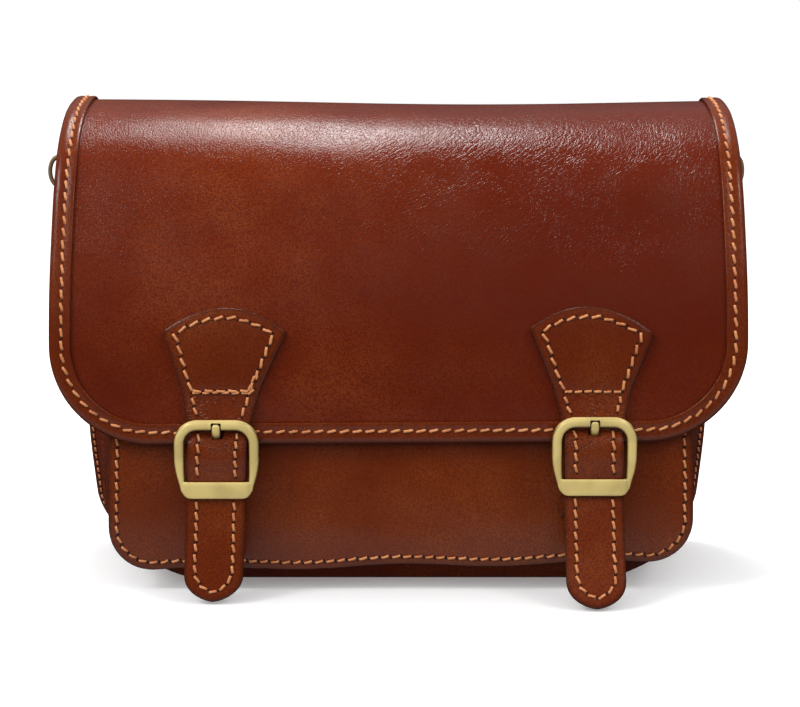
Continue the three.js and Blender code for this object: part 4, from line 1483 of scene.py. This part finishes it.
@dataclass(frozen=True)
class ClosureStrap:
    """A strap with a fan end sewn on the flap, through the buckle and down to its tip."""

    place: Place
    half: float = 11.5
    arch: float = 9.4
    fan_height: float = 107.8
    lift_start: float = 17.0
    crest: tuple[float, ...] = (8.6, 3.8)
    hang_bend: float = 1.3
    tip_height: float = 1.5
    tip_length: float = 11.8
    tip_power: float = 2.6
    tip_root: float = 0.66
    blunt: float = 0.03
    buckle_z: float = 58.4
    hole_low: float = 65.0
    hole_high: float = 69.4
    pitch: float = 0.9
    columns: int = 34
    hole_columns: int = 3
    fan_inset: float = 3.2
    seam_inset: float = 4.0
    cross_down: float = 24.0
    tip_seam: float = 3.6
    groove_depth: float = 0.28
    groove_reach: float = 1.7
    crown: float = 0.12
    outline: tuple[tuple[float, float], ...] = (
        (0.0, 24.2), (9.0, 20.4), (22.0, 15.3), (34.0, 12.6), (44.0, 11.5),
    )
    drop: tuple[tuple[float, float], ...] = (
        (-52.3, 66.6), (-54.4, 63.6), (-54.9, 59.5), (-54.2, 51.5), (-53.6, 43.5),
    )
    hidden: tuple[tuple[float, float], ...] = ((41.6, 50.2), (68.6, 74.4))

    def curve(self) -> SideCurve:
        """Side view of the mid surface, from the fan's arched top to the tip."""
        on_flap = THICK.flap / 2 + THICK.gap + THICK.strap / 2
        top = FLAP.along_front(self.fan_height + self.arch)
        upper = FLAP.place(np.linspace(top, FLAP.length - self.lift_start, 7), self.place.fan_x, on_flap)
        on_band = on_flap + THICK.gap + THICK.binding
        crest = FLAP.place(FLAP.length - np.array(self.crest), self.place.fan_x, on_band)
        drop = [(y, z + (self.place.lift if z > self.buckle_z else 0.0)) for y, z in self.drop]
        last_y, last_z = drop[-1]
        hang = [
            (lerp(last_y, self.place.tip_y, share**self.hang_bend), lerp(last_z, self.tip_height, share))
            for share in (0.5, 0.85, 1.0)
        ]
        return SideCurve(np.vstack([upper[:, 1:], crest[:, 1:], drop, hang]))

    def middle(self, z: Array) -> Array:
        """Sideways place of the middle at a height: the strap leans a little."""
        place = self.place
        upper = lerp(place.buckle_x, place.fan_x, (z - self.buckle_z) / (self.fan_height - self.buckle_z))
        lower = lerp(place.buckle_x, place.tip_x, (self.buckle_z - z) / self.buckle_z)
        return np.where(z > self.buckle_z, upper, lower)

    def width(self, down: Array, length: float) -> Array:
        """Half the width at distances down from the fan's corners."""
        flat = np.array(self.outline)
        start = length - self.arch - self.tip_length
        tip = np.clip((down - start) / self.tip_length, 0.0, 1.0)
        taper = np.maximum((1.0 - tip**self.tip_power) ** self.tip_root, self.blunt)
        return np.interp(down, flat[:, 0], flat[:, 1]) * taper

    def points(self, curve: SideCurve, down: Array, across: Array) -> Array:
        """Points of the mid surface.

        Args:
            curve: The strap's side view.
            down: Distances down from the fan's corners.
            across: Shares of the half width, -1 to 1.

        Returns:
            The points; the fan's top is arched and a little tilted.
        """
        fan = 1.0 - smoothstep(down, 0.0, self.outline[2][0])
        along = self.arch + down + fan * (self.place.fan_tilt * across - self.arch * (1.0 - across**2))
        flat = curve.at(np.clip(along, 0.0, curve.length))
        x = self.middle(flat[..., 1]) + across * self.width(down, curve.length)
        return np.stack([x, flat[..., 0], flat[..., 1]], axis=-1)

    def _rows(self, length: float) -> Array:
        """Distances down at which the strap is cut into rows, closer towards the tip's end."""
        start = length - self.arch - self.tip_length
        body = np.linspace(0.0, start, even_steps(start, self.pitch), endpoint=False)
        share = np.linspace(0.0, 1.0, 27)
        return np.append(body, start + self.tip_length * (1.0 - (1.0 - share) ** 1.7))

    def _paths(self, length: float) -> dict[str, Array]:
        """Paths of the seams: round the fan, across the neck, and down and up the strap."""
        down = np.linspace(self.cross_down, self.fan_inset, 40)
        side = 1.0 - self.fan_inset / self.width(down, length)
        top = np.linspace(-side[-1], side[-1], 40)
        fan = np.vstack([
            np.column_stack([down, -side]),
            np.column_stack([np.full_like(top, self.fan_inset), top]),
            np.column_stack([down[::-1], side[::-1]]),
        ])
        cross = np.column_stack([np.full_like(top, self.cross_down), np.linspace(-side[0], side[0], 40)])
        end = length - self.arch - self.tip_seam
        start = end - self.tip_length + 2.0
        run = np.linspace(self.cross_down + 1.5, end, 240)
        inset = lerp(self.fan_inset, self.seam_inset, smoothstep(run, self.cross_down, 40.0))
        edge = np.interp(run, *np.array(self.outline).T) - inset
        edge *= (1.0 - np.clip((run - start) / (end - start), 0.0, 1.0) ** 2.4) ** 0.7
        share = edge / self.width(run, length)
        strap = np.vstack([np.column_stack([run, -share]), np.column_stack([run[::-1], share[::-1]])])
        again = np.column_stack([down[:14], side[:14] - 0.05])
        over = cross[::-1] - (0.7, 0.0)
        knot = np.array([(self.cross_down + 1.3, side[0] - 0.04), (self.cross_down - 1.7, side[0] + 0.1)])
        return {"fan": fan, "cross": cross, "strap": strap, "again": again, "over": over, "knot": knot}

    def seams(self, curve: SideCurve) -> list[Seam]:
        """The strap's seams, left out where the buckle covers them."""
        paths = self._paths(curve.length)
        thin = Thread(radius=0.56, stitch=3.9, pitch=4.3, hole=0.44)
        made = [
            self._lay(curve, paths["fan"], Thread(radius=0.56, pitch=5.0), 7),
            self._lay(curve, paths["cross"], Thread(radius=0.56, stitch=3.8, pitch=4.1, slant=4.0), 8),
        ]
        if self.place.resewn:
            twice = Thread(radius=0.54, stitch=4.0, pitch=4.6, slant=-6.0, rise=0.5)
            for seed, word in enumerate(("again", "over", "knot"), 21):
                made.append(self._lay(curve, paths[word], twice, seed))
        line = self._lay(curve, paths["strap"], thin, 9)
        z = line.line[:, 2]
        shown = np.ones(len(z), bool)
        for low, high in self.hidden:
            shown &= (z < low + self.place.lift) | (z > high + self.place.lift)
        for part in np.split(np.arange(len(z)), np.flatnonzero(np.diff(shown.astype(int))) + 1):
            if shown[part[0]] and len(part) > 4:
                made.append(Seam(line.line[part], line.normals[part], thin, SEED + 9 + part[0]))
        return made

    def _lay(self, curve: SideCurve, path: Array, thread: Thread, seed: int) -> Seam:
        """A seam along a path of distances down and shares across, on the outer face."""
        steps = np.linspace(0.0, 1.0, 700)
        down, across = (np.interp(steps, np.linspace(0.0, 1.0, len(path)), path[:, k]) for k in (0, 1))
        run = unit((self.points(curve, down + 0.5, across) - self.points(curve, down - 0.5, across))[:, 1:])
        normals = np.column_stack([np.zeros(len(run)), run[:, 1], -run[:, 0]])
        line = self.points(curve, down, across) + normals * (THICK.strap / 2)
        both = evenly_along(np.hstack([line, normals]), 0.8)
        return Seam(both[:, :3], unit(both[:, 3:]), thread, SEED + seed)

    def build(self, finishes: Finishes) -> None:
        """Makes the strap and its stitches."""
        curve = self.curve()
        rows = self._rows(curve.length)
        across = np.linspace(1.0, -1.0, self.columns + 1)
        grid = self.points(curve, rows[:, None] + 0.0 * across, across + 0.0 * rows[:, None])
        height = grid[:, self.columns // 2, 2]
        low, high = self.hole_low + self.place.lift, self.hole_high + self.place.lift
        open_rows = np.flatnonzero((height > low) & (height < high))
        middle = self.columns // 2
        hole = (open_rows[0], open_rows[-1], middle - self.hole_columns, middle + self.hole_columns)
        seams = self.seams(curve)
        lines = [seam.line - seam.normals * (THICK.strap / 2) for seam in seams]
        sunk = groove(grid, lines, self.groove_depth, self.groove_reach)
        dome = self.crown * (1.0 - across**2)[None, :]
        sheet = Sheet(grid, THICK.strap, relief=sunk + dome, edge_drop=0.35, rim_reach=2.4, hole=hole)
        word = self.place.word
        strap = sheet.shape().make(f"closure_strap_{word}_leather", finishes.trim)
        settle(strap, [f"closure_strap_{word}"])
        sew(f"closure_strap_{word}_stitches", finishes, *seams)


def turned_bar(radius: float, half_length: float, centre: Spot, sides: int = 28) -> Shape:
    """A round bar along X with eased ends."""
    angle = full_turn(sides)
    ease = 0.18 * radius
    rows = (
        (-half_length, radius - ease), (-half_length + ease, radius),
        (half_length - ease, radius), (half_length, radius - ease),
    )
    rings = [np.column_stack([np.full(sides, x), r * np.cos(angle), r * np.sin(angle)]) for x, r in rows]
    return loft(np.stack(rings) + np.array(centre), closed=False)


def eased_box(low: Sequence[float], high: Sequence[float], power: float = 6.0, sides: int = 40) -> Shape:
    """A block along X with rounded long edges."""
    ring = rounded(sides, power)
    middle = (np.array(low) + np.array(high)) / 2
    half = np.abs(np.array(high) - np.array(low)) / 2
    rows = ((-1.0, 0.9), (-0.9, 1.0), (0.9, 1.0), (1.0, 0.9))
    rings = [
        middle + np.column_stack([np.full(sides, half[0] * x), half[1:] * size * ring]) for x, size in rows
    ]
    return loft(np.stack(rings), closed=False)


def rounded(sides: int, power: float) -> Array:
    """Points of a rounded square of half size one: a circle at power 2, squarer above."""
    angle = full_turn(sides)
    cos, sin = np.cos(angle), np.sin(angle)
    return np.column_stack([
        np.sign(cos) * np.abs(cos) ** (2.0 / power), np.sign(sin) * np.abs(sin) ** (2.0 / power),
    ])


@dataclass(frozen=True)
class Buckle:
    """A brass frame with keeper and hinge bar as one casting, and its prong."""

    place: Place
    top: float = 73.8
    half_width: float = 14.9
    widest: float = 58.4
    foot_half_width: float = 13.2
    foot_share: float = 0.5
    corner: float = 7.4
    bar: float = 4.2
    depth: float = 3.4
    centre_y: float = -54.4
    keeper_top: float = 49.0
    keeper_height: float = 6.8
    keeper_depth: float = 1.6
    keeper_half_width: float = 14.4
    keeper_front: float = -57.0
    keeper_corner: float = 4.4
    keeper_upper_corner: float = 0.9
    keeper_wrap: float = 1.1
    keeper_wrap_reach: float = 3.2
    hinge_y: float = -48.3
    hinge_z: float = 45.8
    hinge_radius: float = 1.4
    lug_half_height: float = 1.8
    lug_half_width: float = 13.3
    lug_width: float = 1.3
    notch_width: float = 4.0
    notch_bottom: float = -53.8
    notch_rim: float = 1.0
    prong_half: tuple[float, float] = (1.75, 1.1)
    eye_inner: float = 1.7
    eye_outer: float = 2.9
    eye_half_width: float = 2.0
    prong_path: tuple[tuple[float, float], ...] = (
        (-49.2, 47.6), (-49.6, 54.0), (-50.0, 61.0), (-51.4, 65.0), (-54.9, 68.6), (-55.7, 72.2),
    )

    def _path(self) -> Array:
        """The frame's centre line in front view, from the left foot over the top to the right foot."""
        top = self.top - self.bar / 2
        foot = self.keeper_top - self.keeper_height / 2
        shoulder = top - self.corner
        z = np.linspace(foot, shoulder, 22)
        draw = np.clip((self.widest - z) / (self.widest - foot), 0.0, 1.0) ** 2
        side = np.column_stack([-lerp(self.half_width, self.foot_half_width, draw), z])
        angle = np.linspace(0.0, math.pi / 2, 16)[1:]
        turn = np.column_stack([
            -self.half_width + self.corner * (1.0 - np.cos(angle)), shoulder + self.corner * np.sin(angle),
        ])
        left = np.vstack([side, turn])
        return evenly_along(np.vstack([left, left[::-1] * (-1, 1)]), 0.8)

    def _frame(self) -> Shape:
        """The frame: a soft-cornered section swept along its centre line, thinner at the feet."""
        path = self._path()
        run = unit(np.gradient(path, axis=0))
        section = rounded(28, 2.1)
        low = self.keeper_top - self.keeper_height
        share = lerp(self.foot_share, 1.0, smoothstep(path[:, 1], low, self.widest))[:, None]
        wide = section[:, 0] * self.bar / 2 * share
        rings = np.stack([
            path[:, :1] - run[:, 1:] * wide,
            np.broadcast_to(self.centre_y + section[:, 1] * self.depth / 2, wide.shape),
            path[:, 1:] + run[:, :1] * wide,
        ], axis=-1)
        return loft(rings, closed=False)

    def _keeper(self) -> Shape:
        """The keeper: a flat band with rounded lower corners, its ends drawn back."""
        x = self.keeper_half_width * np.sin(np.linspace(-1.0, 1.0, 61) * math.pi / 2)
        reach = np.abs(x)[:, None]

        def ease(radius: float) -> Array:
            """How far a rounded corner cuts in at each place."""
            into = np.clip(reach - (self.keeper_half_width - radius), 0.0, radius)
            return radius - np.sqrt(np.maximum(radius**2 - into**2, 0.0))

        high = self.keeper_top - ease(self.keeper_upper_corner)
        low = self.keeper_top - self.keeper_height + ease(self.keeper_corner)
        section = rounded(36, 3.2)
        wrap_start = self.keeper_half_width - self.keeper_wrap_reach
        back = self.keeper_wrap * smoothstep(reach, wrap_start, self.keeper_half_width) ** 1.5
        y = self.keeper_front + self.keeper_depth / 2 + back + section[:, 0] * self.keeper_depth / 2
        z = (high + low) / 2 + section[:, 1] * (high - low) / 2
        return loft(np.stack([np.broadcast_to(x[:, None], z.shape), y, z], axis=-1), closed=False)

    def _prong(self) -> Shape:
        """The prong's shaft, with a rounded tip."""
        curve = SideCurve(self.prong_path)
        share = np.append(np.linspace(0.0, 0.95, 30), np.linspace(0.96, 1.0, 7))
        flat, run = curve.at(share * curve.length), curve.tangent(share * curve.length)
        blunt = np.sqrt(1.0 - 0.88 * np.clip((share - 0.95) / 0.05, 0.0, 1.0) ** 2)[:, None]
        section = rounded(20, 2.3) * np.array(self.prong_half)
        off = section[:, 1] * blunt
        rings = np.stack([
            section[:, 0] * blunt, flat[:, :1] + off * run[:, 1:], flat[:, 1:] - off * run[:, :1],
        ], axis=-1)
        return loft(rings, closed=False)

    def _at(self, *shapes: Shape) -> list[Shape]:
        """The shapes moved to this side."""
        for shape in shapes:
            shape.points = [points + (self.place.buckle_x, 0.0, self.place.lift) for points in shape.points]
        return list(shapes)

    def build(self, finishes: Finishes) -> None:
        """Makes the casting and the prong."""
        word = self.place.word
        centre = (0.0, self.hinge_y, self.hinge_z)
        low, high = self.hinge_z - self.lug_half_height, self.hinge_z + self.lug_half_height
        lugs = [
            eased_box(
                (sign * self.lug_half_width, self.keeper_front + self.keeper_depth / 2, low),
                (sign * (self.lug_half_width - self.lug_width), self.hinge_y + self.hinge_radius, high),
            )
            for sign in (-1.0, 1.0)
        ]
        notch = eased_box(
            (-self.notch_width / 2, self.keeper_front - self.depth, self.top - 2 * self.bar),
            (self.notch_width / 2, self.notch_bottom, self.top - self.notch_rim), power=12.0,
        )
        hinge = turned_bar(self.hinge_radius, self.lug_half_width - 0.2, centre)
        parts = self._at(self._frame(), self._keeper(), hinge, *lugs)
        casting = fused(f"buckle_{word}_brass", finishes.brass, parts[0], parts[1:], self._at(notch))
        settle(casting, [f"buckle_{word}"])
        eye = turned_bar(self.eye_outer, self.eye_half_width, centre, 40)
        bore = turned_bar(self.eye_inner, 2 * self.eye_half_width, centre, 40)
        parts = self._at(self._prong(), eye, bore)
        prong = fused(f"prong_{word}_brass", finishes.brass, parts[0], parts[1:2], parts[2:])
        settle(prong, [f"prong_{word}"])


@dataclass(frozen=True)
class Chape:
    """The leather loop that carries the buckle's hinge bar, sewn to the front."""

    place: Place
    half: float = 11.4
    wrap_half: float = 11.6
    bottom: float = 33.5
    sewn_top: float = 40.0
    slot_columns: int = 5
    columns: int = 22
    sewn_gap: float = 0.15
    seam_z: float = 36.4

    def _seat(self, z: float) -> float:
        """Where the chape's inner layer lies on the front."""
        return float(FRONT.y(z)) - THICK.body / 2 - THICK.gap - THICK.chape / 2

    def _curve(self, buckle: Buckle) -> SideCurve:
        """Side view: up behind the hinge bar, over it and down in front."""
        radius = buckle.hinge_radius + THICK.gap + THICK.chape / 2
        layer = THICK.chape + self.sewn_gap
        hinge_z = buckle.hinge_z + self.place.lift
        wrap = [
            (buckle.hinge_y + radius * math.cos(angle), hinge_z + radius * math.sin(angle))
            for angle in np.linspace(0.0, math.pi, 9)
        ]
        levels = (self.bottom, (self.bottom + self.sewn_top) / 2, self.sewn_top)
        behind = [(self._seat(z), z) for z in levels]
        before = [(self._seat(z) - layer, z) for z in reversed(levels)]
        turn = (buckle.hinge_y - radius, hinge_z - radius)
        return SideCurve([*behind, *wrap, turn, *before])

    def build(self, finishes: Finishes, buckle: Buckle) -> None:
        """Makes the loop and the stitches of its sewn end."""
        curve = self._curve(buckle)
        flat = curve.at(np.linspace(0.0, curve.length, even_steps(curve.length, 0.6) + 1))
        free = smoothstep(flat[:, 1], self.sewn_top - 1.5, self.sewn_top + 1.0)[:, None]
        across = np.linspace(1.0, -1.0, self.columns + 1)
        middle = lerp(self.place.chape_x, self.place.buckle_x, free)
        x = middle + lerp(self.half, self.wrap_half, free) * across
        grid = np.stack(np.broadcast_arrays(x, flat[:, :1], flat[:, 1:]), axis=-1)
        wrapped = np.flatnonzero(flat[:, 1] > self.sewn_top + THICK.gap)
        centre, side = self.columns // 2, self.slot_columns // 2 + 1
        hole = (int(wrapped[0]), int(wrapped[-1]), centre - side, centre + side)
        sheet = Sheet(grid, THICK.chape, rim_reach=1.8, hole=hole)
        word = self.place.word
        loop = sheet.shape().make(f"chape_{word}_leather", finishes.trim)
        settle(loop, [f"chape_{word}"])
        run = np.arange(-self.half + 1.6, self.half - 1.5, 0.5)
        face = self._seat(self.seam_z) - 1.5 * THICK.chape - self.sewn_gap
        line = np.column_stack(np.broadcast_arrays(self.place.chape_x + run, face, self.seam_z))
        small = Thread(radius=0.3, stitch=2.9, pitch=3.8, rise=0.1, hole=0.4)
        seam = Seam(line, np.tile((0.0, -1.0, 0.0), (len(run), 1)), small)
        sew(f"chape_{word}_stitches", finishes, seam)


@dataclass(frozen=True)
class RingEnd:
    """A folded tab on the back that carries a ring, and the ring."""

    place: Place
    height: float = 166.0
    bar_x: float = 144.1
    bar_y: float = 46.0
    wire: float = 0.95
    half_bar: float = 7.2
    reach: float = 9.6
    squareness: float = 0.5
    tab_half: float = 5.4
    tab_inner: float = 112.0
    loop: float = 2.05
    layers: tuple[float, float] = (45.06, 46.74)
    seam: tuple[float, float, float] = (115.0, 136.0, 3.2)

    def _tab(self) -> Array:
        """Top view of the tab's fold: out along the back, round the bar and home again."""
        straight = np.arange(self.tab_inner, self.bar_x - 3.0, 0.8)
        angle = np.radians(np.linspace(-150.0, 150.0, 31))
        turn = np.column_stack([
            self.bar_x + self.loop * np.cos(angle), self.bar_y + self.loop * np.sin(angle),
        ])
        near = np.column_stack([straight, np.full_like(straight, self.layers[0])])
        far = np.column_stack([straight[::-1], np.full_like(straight, self.layers[1])])
        return evenly_along(np.vstack([near, turn, far]), 0.6)

    def _ring(self) -> Array:
        """The ring's centre line: a round bow outwards and a straight bar."""
        angle = np.linspace(-math.pi / 2, math.pi / 2, 181)
        out = self.reach * np.cos(angle).clip(0.0) ** self.squareness
        bow = np.column_stack([out, self.half_bar * np.sin(angle)])
        return evenly_along(np.vstack([bow, bow[:1]]), 0.7)[:-1]

    def build(self, finishes: Finishes) -> None:
        """Makes the tab, its stitches and the ring."""
        self._build_tab(finishes)
        self._build_ring(finishes)

    def _build_tab(self, finishes: Finishes) -> None:
        """Makes the folded tab and its stitches."""
        word, sign = self.place.word, self.place.sign
        fold = self._tab()
        z = self.height + np.linspace(self.tab_half, -self.tab_half, 19) * sign
        grid = np.stack(np.broadcast_arrays(sign * fold[:, :1], fold[:, 1:], z), axis=-1)
        tab = Sheet(grid, THICK.tab, rim_reach=1.6).shape().make(f"ring_tab_{word}_leather", finishes.trim)
        settle(tab, [f"ring_tab_{word}"])
        inner, outer, reach = self.seam
        face = self.layers[1] + THICK.tab / 2
        corners = [(inner, -reach), (outer, -reach), (outer, reach), (inner, reach), (inner, -reach)]
        line = np.array([(sign * x, face, self.height + rise) for x, rise in corners])
        line = evenly_along(line, 0.5)
        small = Thread(radius=0.36, stitch=3.0, pitch=4.0, hole=0.5)
        seam = Seam(line, np.tile((0.0, 1.0, 0.0), (len(line), 1)), small)
        sew(f"ring_tab_{word}_stitches", finishes, seam)

    def _build_ring(self, finishes: Finishes) -> None:
        """Makes the ring, swung as the photograph shows it."""
        word, sign = self.place.word, self.place.sign
        path = self._ring()
        run = unit(np.roll(path, -1, axis=0) - np.roll(path, 1, axis=0))
        angle = full_turn(16)
        wide, deep = self.wire * np.cos(angle), self.wire * np.sin(angle)
        flat = path[:, :1] - run[:, 1:] * wide
        rise = self.height + path[:, 1:] + run[:, :1] * wide
        turn = math.radians(self.place.ring_swing) + (math.pi if sign < 0 else 0.0)
        x = sign * self.bar_x + flat * math.cos(turn) - deep * math.sin(turn)
        y = self.bar_y + flat * math.sin(turn) + deep * math.cos(turn)
        # The ring wears the darker brass copy, painted shade.
        ring = loft(np.stack([x, y, rise], axis=-1), closed=True).make(f"d_ring_{word}_brass", finishes.ring)
        settle(ring, [f"d_ring_{word}"], f"ring_{word}")


# Studio


@dataclass(frozen=True)
class Lamp:
    """A soft box: where it stands, what it looks at, its size and strength."""

    name: str
    at: Spot
    towards: Spot
    size: tuple[float, float]
    watts: float

    def build(self) -> None:
        """Hangs the lamp."""
        light = bpy.data.lights.new(self.name, "AREA")
        light.shape = "RECTANGLE"
        light.size, light.size_y = self.size
        light.energy = self.watts
        lamp = bpy.data.objects.new(self.name, light)
        lamp.location = self.at
        aim = Vector(self.towards) - Vector(self.at)
        lamp.rotation_euler = aim.to_track_quat("-Z", "Y").to_euler()
        bpy.context.scene.collection.objects.link(lamp)


@dataclass(frozen=True)
class Studio:
    """White floor, white surround, soft light from above and the camera."""

    lens: float = 85.5
    sensor: float = 36.0
    eye: Spot = (0.0006, -0.7945, 0.2178)
    pitch: float = 81.0
    floor_half: float = 6.0
    floor_white: float = 0.97
    floor_roughness: float = 0.9
    floor_specular: float = 0.1
    floor_glow: float = 0.2
    sky_left: float = 1.75
    sky_right: float = 1.2
    bounce: float = 0.11
    room_dark: float = 0.015
    room_back: float = 0.25
    room_floor: float = 0.55
    lamps: tuple[Lamp, ...] = (
        Lamp("overhead", (-0.075, 0.36, 1.25), (-0.075, 0.02, 0.15), (0.27, 0.46), 5.2),
        Lamp("left_fill", (-1.2, -0.8, 1.5), (0.0, 0.0, 0.1), (0.5, 0.5), 9.4),
        Lamp("right_fill", (1.2, -0.8, 1.5), (0.0, 0.0, 0.1), (0.5, 0.5), 5.2),
    )

    def _floor(self) -> None:
        """A wide matt white floor that gives off a little light, so that shadows stay pale."""
        half = self.floor_half / MM
        corners = np.array([(-half, -half, 0.0), (half, -half, 0.0), (half, half, 0.0), (-half, half, 0.0)])
        paint, hand, skin = new_material("white_floor")
        hand.feed(skin, "Base Color", (self.floor_white,) * 3)
        hand.feed(skin, "Roughness", self.floor_roughness)
        hand.feed(skin, "Emission Color", (1.0,) * 3)
        hand.feed(skin, "Emission Strength", self.floor_glow)
        hand.feed(skin, "Specular IOR Level", self.floor_specular)
        floor = Shape().add(corners, [np.array([(0, 1, 2, 3)])]).make("floor", paint)
        floor.visible_glossy = False
        floor.visible_diffuse = False

    def _surround(self) -> None:
        """White behind the bag for the eye, an even sky for soft light and a darker room for its shine."""
        world = bpy.data.worlds.new("surround")
        world.use_nodes = True
        world.cycles.sampling_method = "NONE"
        hand = NodeHand(world.node_tree)
        turn = hand.add("SeparateXYZ", Vector=hand.add("TexCoord").outputs["Generated"])
        ray = hand.add("LightPath").outputs
        sky = hand.add("Background")
        up, behind = turn.outputs["Z"], turn.outputs["Y"]
        ground = hand.blend(hand.ramp(behind, 0.1, -0.5), (0.02,) * 3, (self.bounce,) * 3)
        horizon = hand.blend(hand.ramp(up, 0.0, 0.42), ground, (1.0,) * 3)
        hand.feed(sky, "Color", hand.blend(hand.ramp(up, 0.5, 1.0), horizon, (0.45,) * 3))
        hand.feed(sky, "Strength", hand.ramp(turn.outputs["X"], -0.7, 0.7, self.sky_left, self.sky_right))
        far_wall = hand.ramp(behind, -0.3, 0.5, 0.0, self.room_back)
        above = hand.math("MULTIPLY", hand.ramp(up, 0.1, 0.6), far_wall)
        near_floor = hand.ramp(behind, 0.1, -0.3, 0.0, self.room_floor)
        below = hand.math("MULTIPLY", hand.ramp(up, -0.2, -0.45), near_floor)
        room = hand.add("Background", Color=(1.0, 1.0, 1.0))
        hand.feed(room, "Strength", hand.math("ADD", hand.math("ADD", above, below), self.room_dark))
        seen = hand.add("Background", Color=(1.0, 1.0, 1.0), Strength=1.0)
        shine = hand.add("MixShader", Fac=ray["Is Glossy Ray"])
        hand.feed(shine, 1, sky.outputs[0])
        hand.feed(shine, 2, room.outputs[0])
        pick = hand.add("MixShader", Fac=ray["Is Camera Ray"])
        hand.feed(pick, 1, shine.outputs[0])
        hand.feed(pick, 2, seen.outputs[0])
        hand.feed(world.node_tree.nodes["World Output"], "Surface", pick.outputs[0])
        bpy.context.scene.world = world

    def _camera(self) -> None:
        """The camera, placed as the photograph was taken."""
        eye = bpy.data.cameras.new("camera")
        eye.lens = self.lens
        eye.sensor_width = self.sensor
        stand = bpy.data.objects.new("camera", eye)
        stand.location = self.eye
        stand.rotation_euler = (math.radians(self.pitch), 0.0, 0.0)
        bpy.context.scene.collection.objects.link(stand)
        bpy.context.scene.camera = stand

    def build(self) -> None:
        """Sets the stage."""
        self._floor()
        self._surround()
        self._camera()
        for lamp in self.lamps:
            lamp.build()
        bpy.context.scene.view_settings.view_transform = "Standard"
        LOG.info("studio: %d lamps", len(self.lamps))


def main() -> None:
    """Builds the bag piece by piece, then the studio."""
    logging.basicConfig(level=logging.INFO, format="%(name)s: %(message)s")
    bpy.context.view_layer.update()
    finishes = Finishes()
    back = BackPanel()
    back.build(finishes)
    Gusset().build(finishes, back)
    FrontPanel().build(finishes)
    FlapPiece().build(finishes)
    FlapBinding().build(finishes)
    for side in Side:
        place = side.value
        buckle = Buckle(place)
        ClosureStrap(place).build(finishes)
        buckle.build(finishes)
        Chape(place).build(finishes, buckle)
        RingEnd(place).build(finishes)
    Studio().build()


if __name__ == "__main__":
    main()
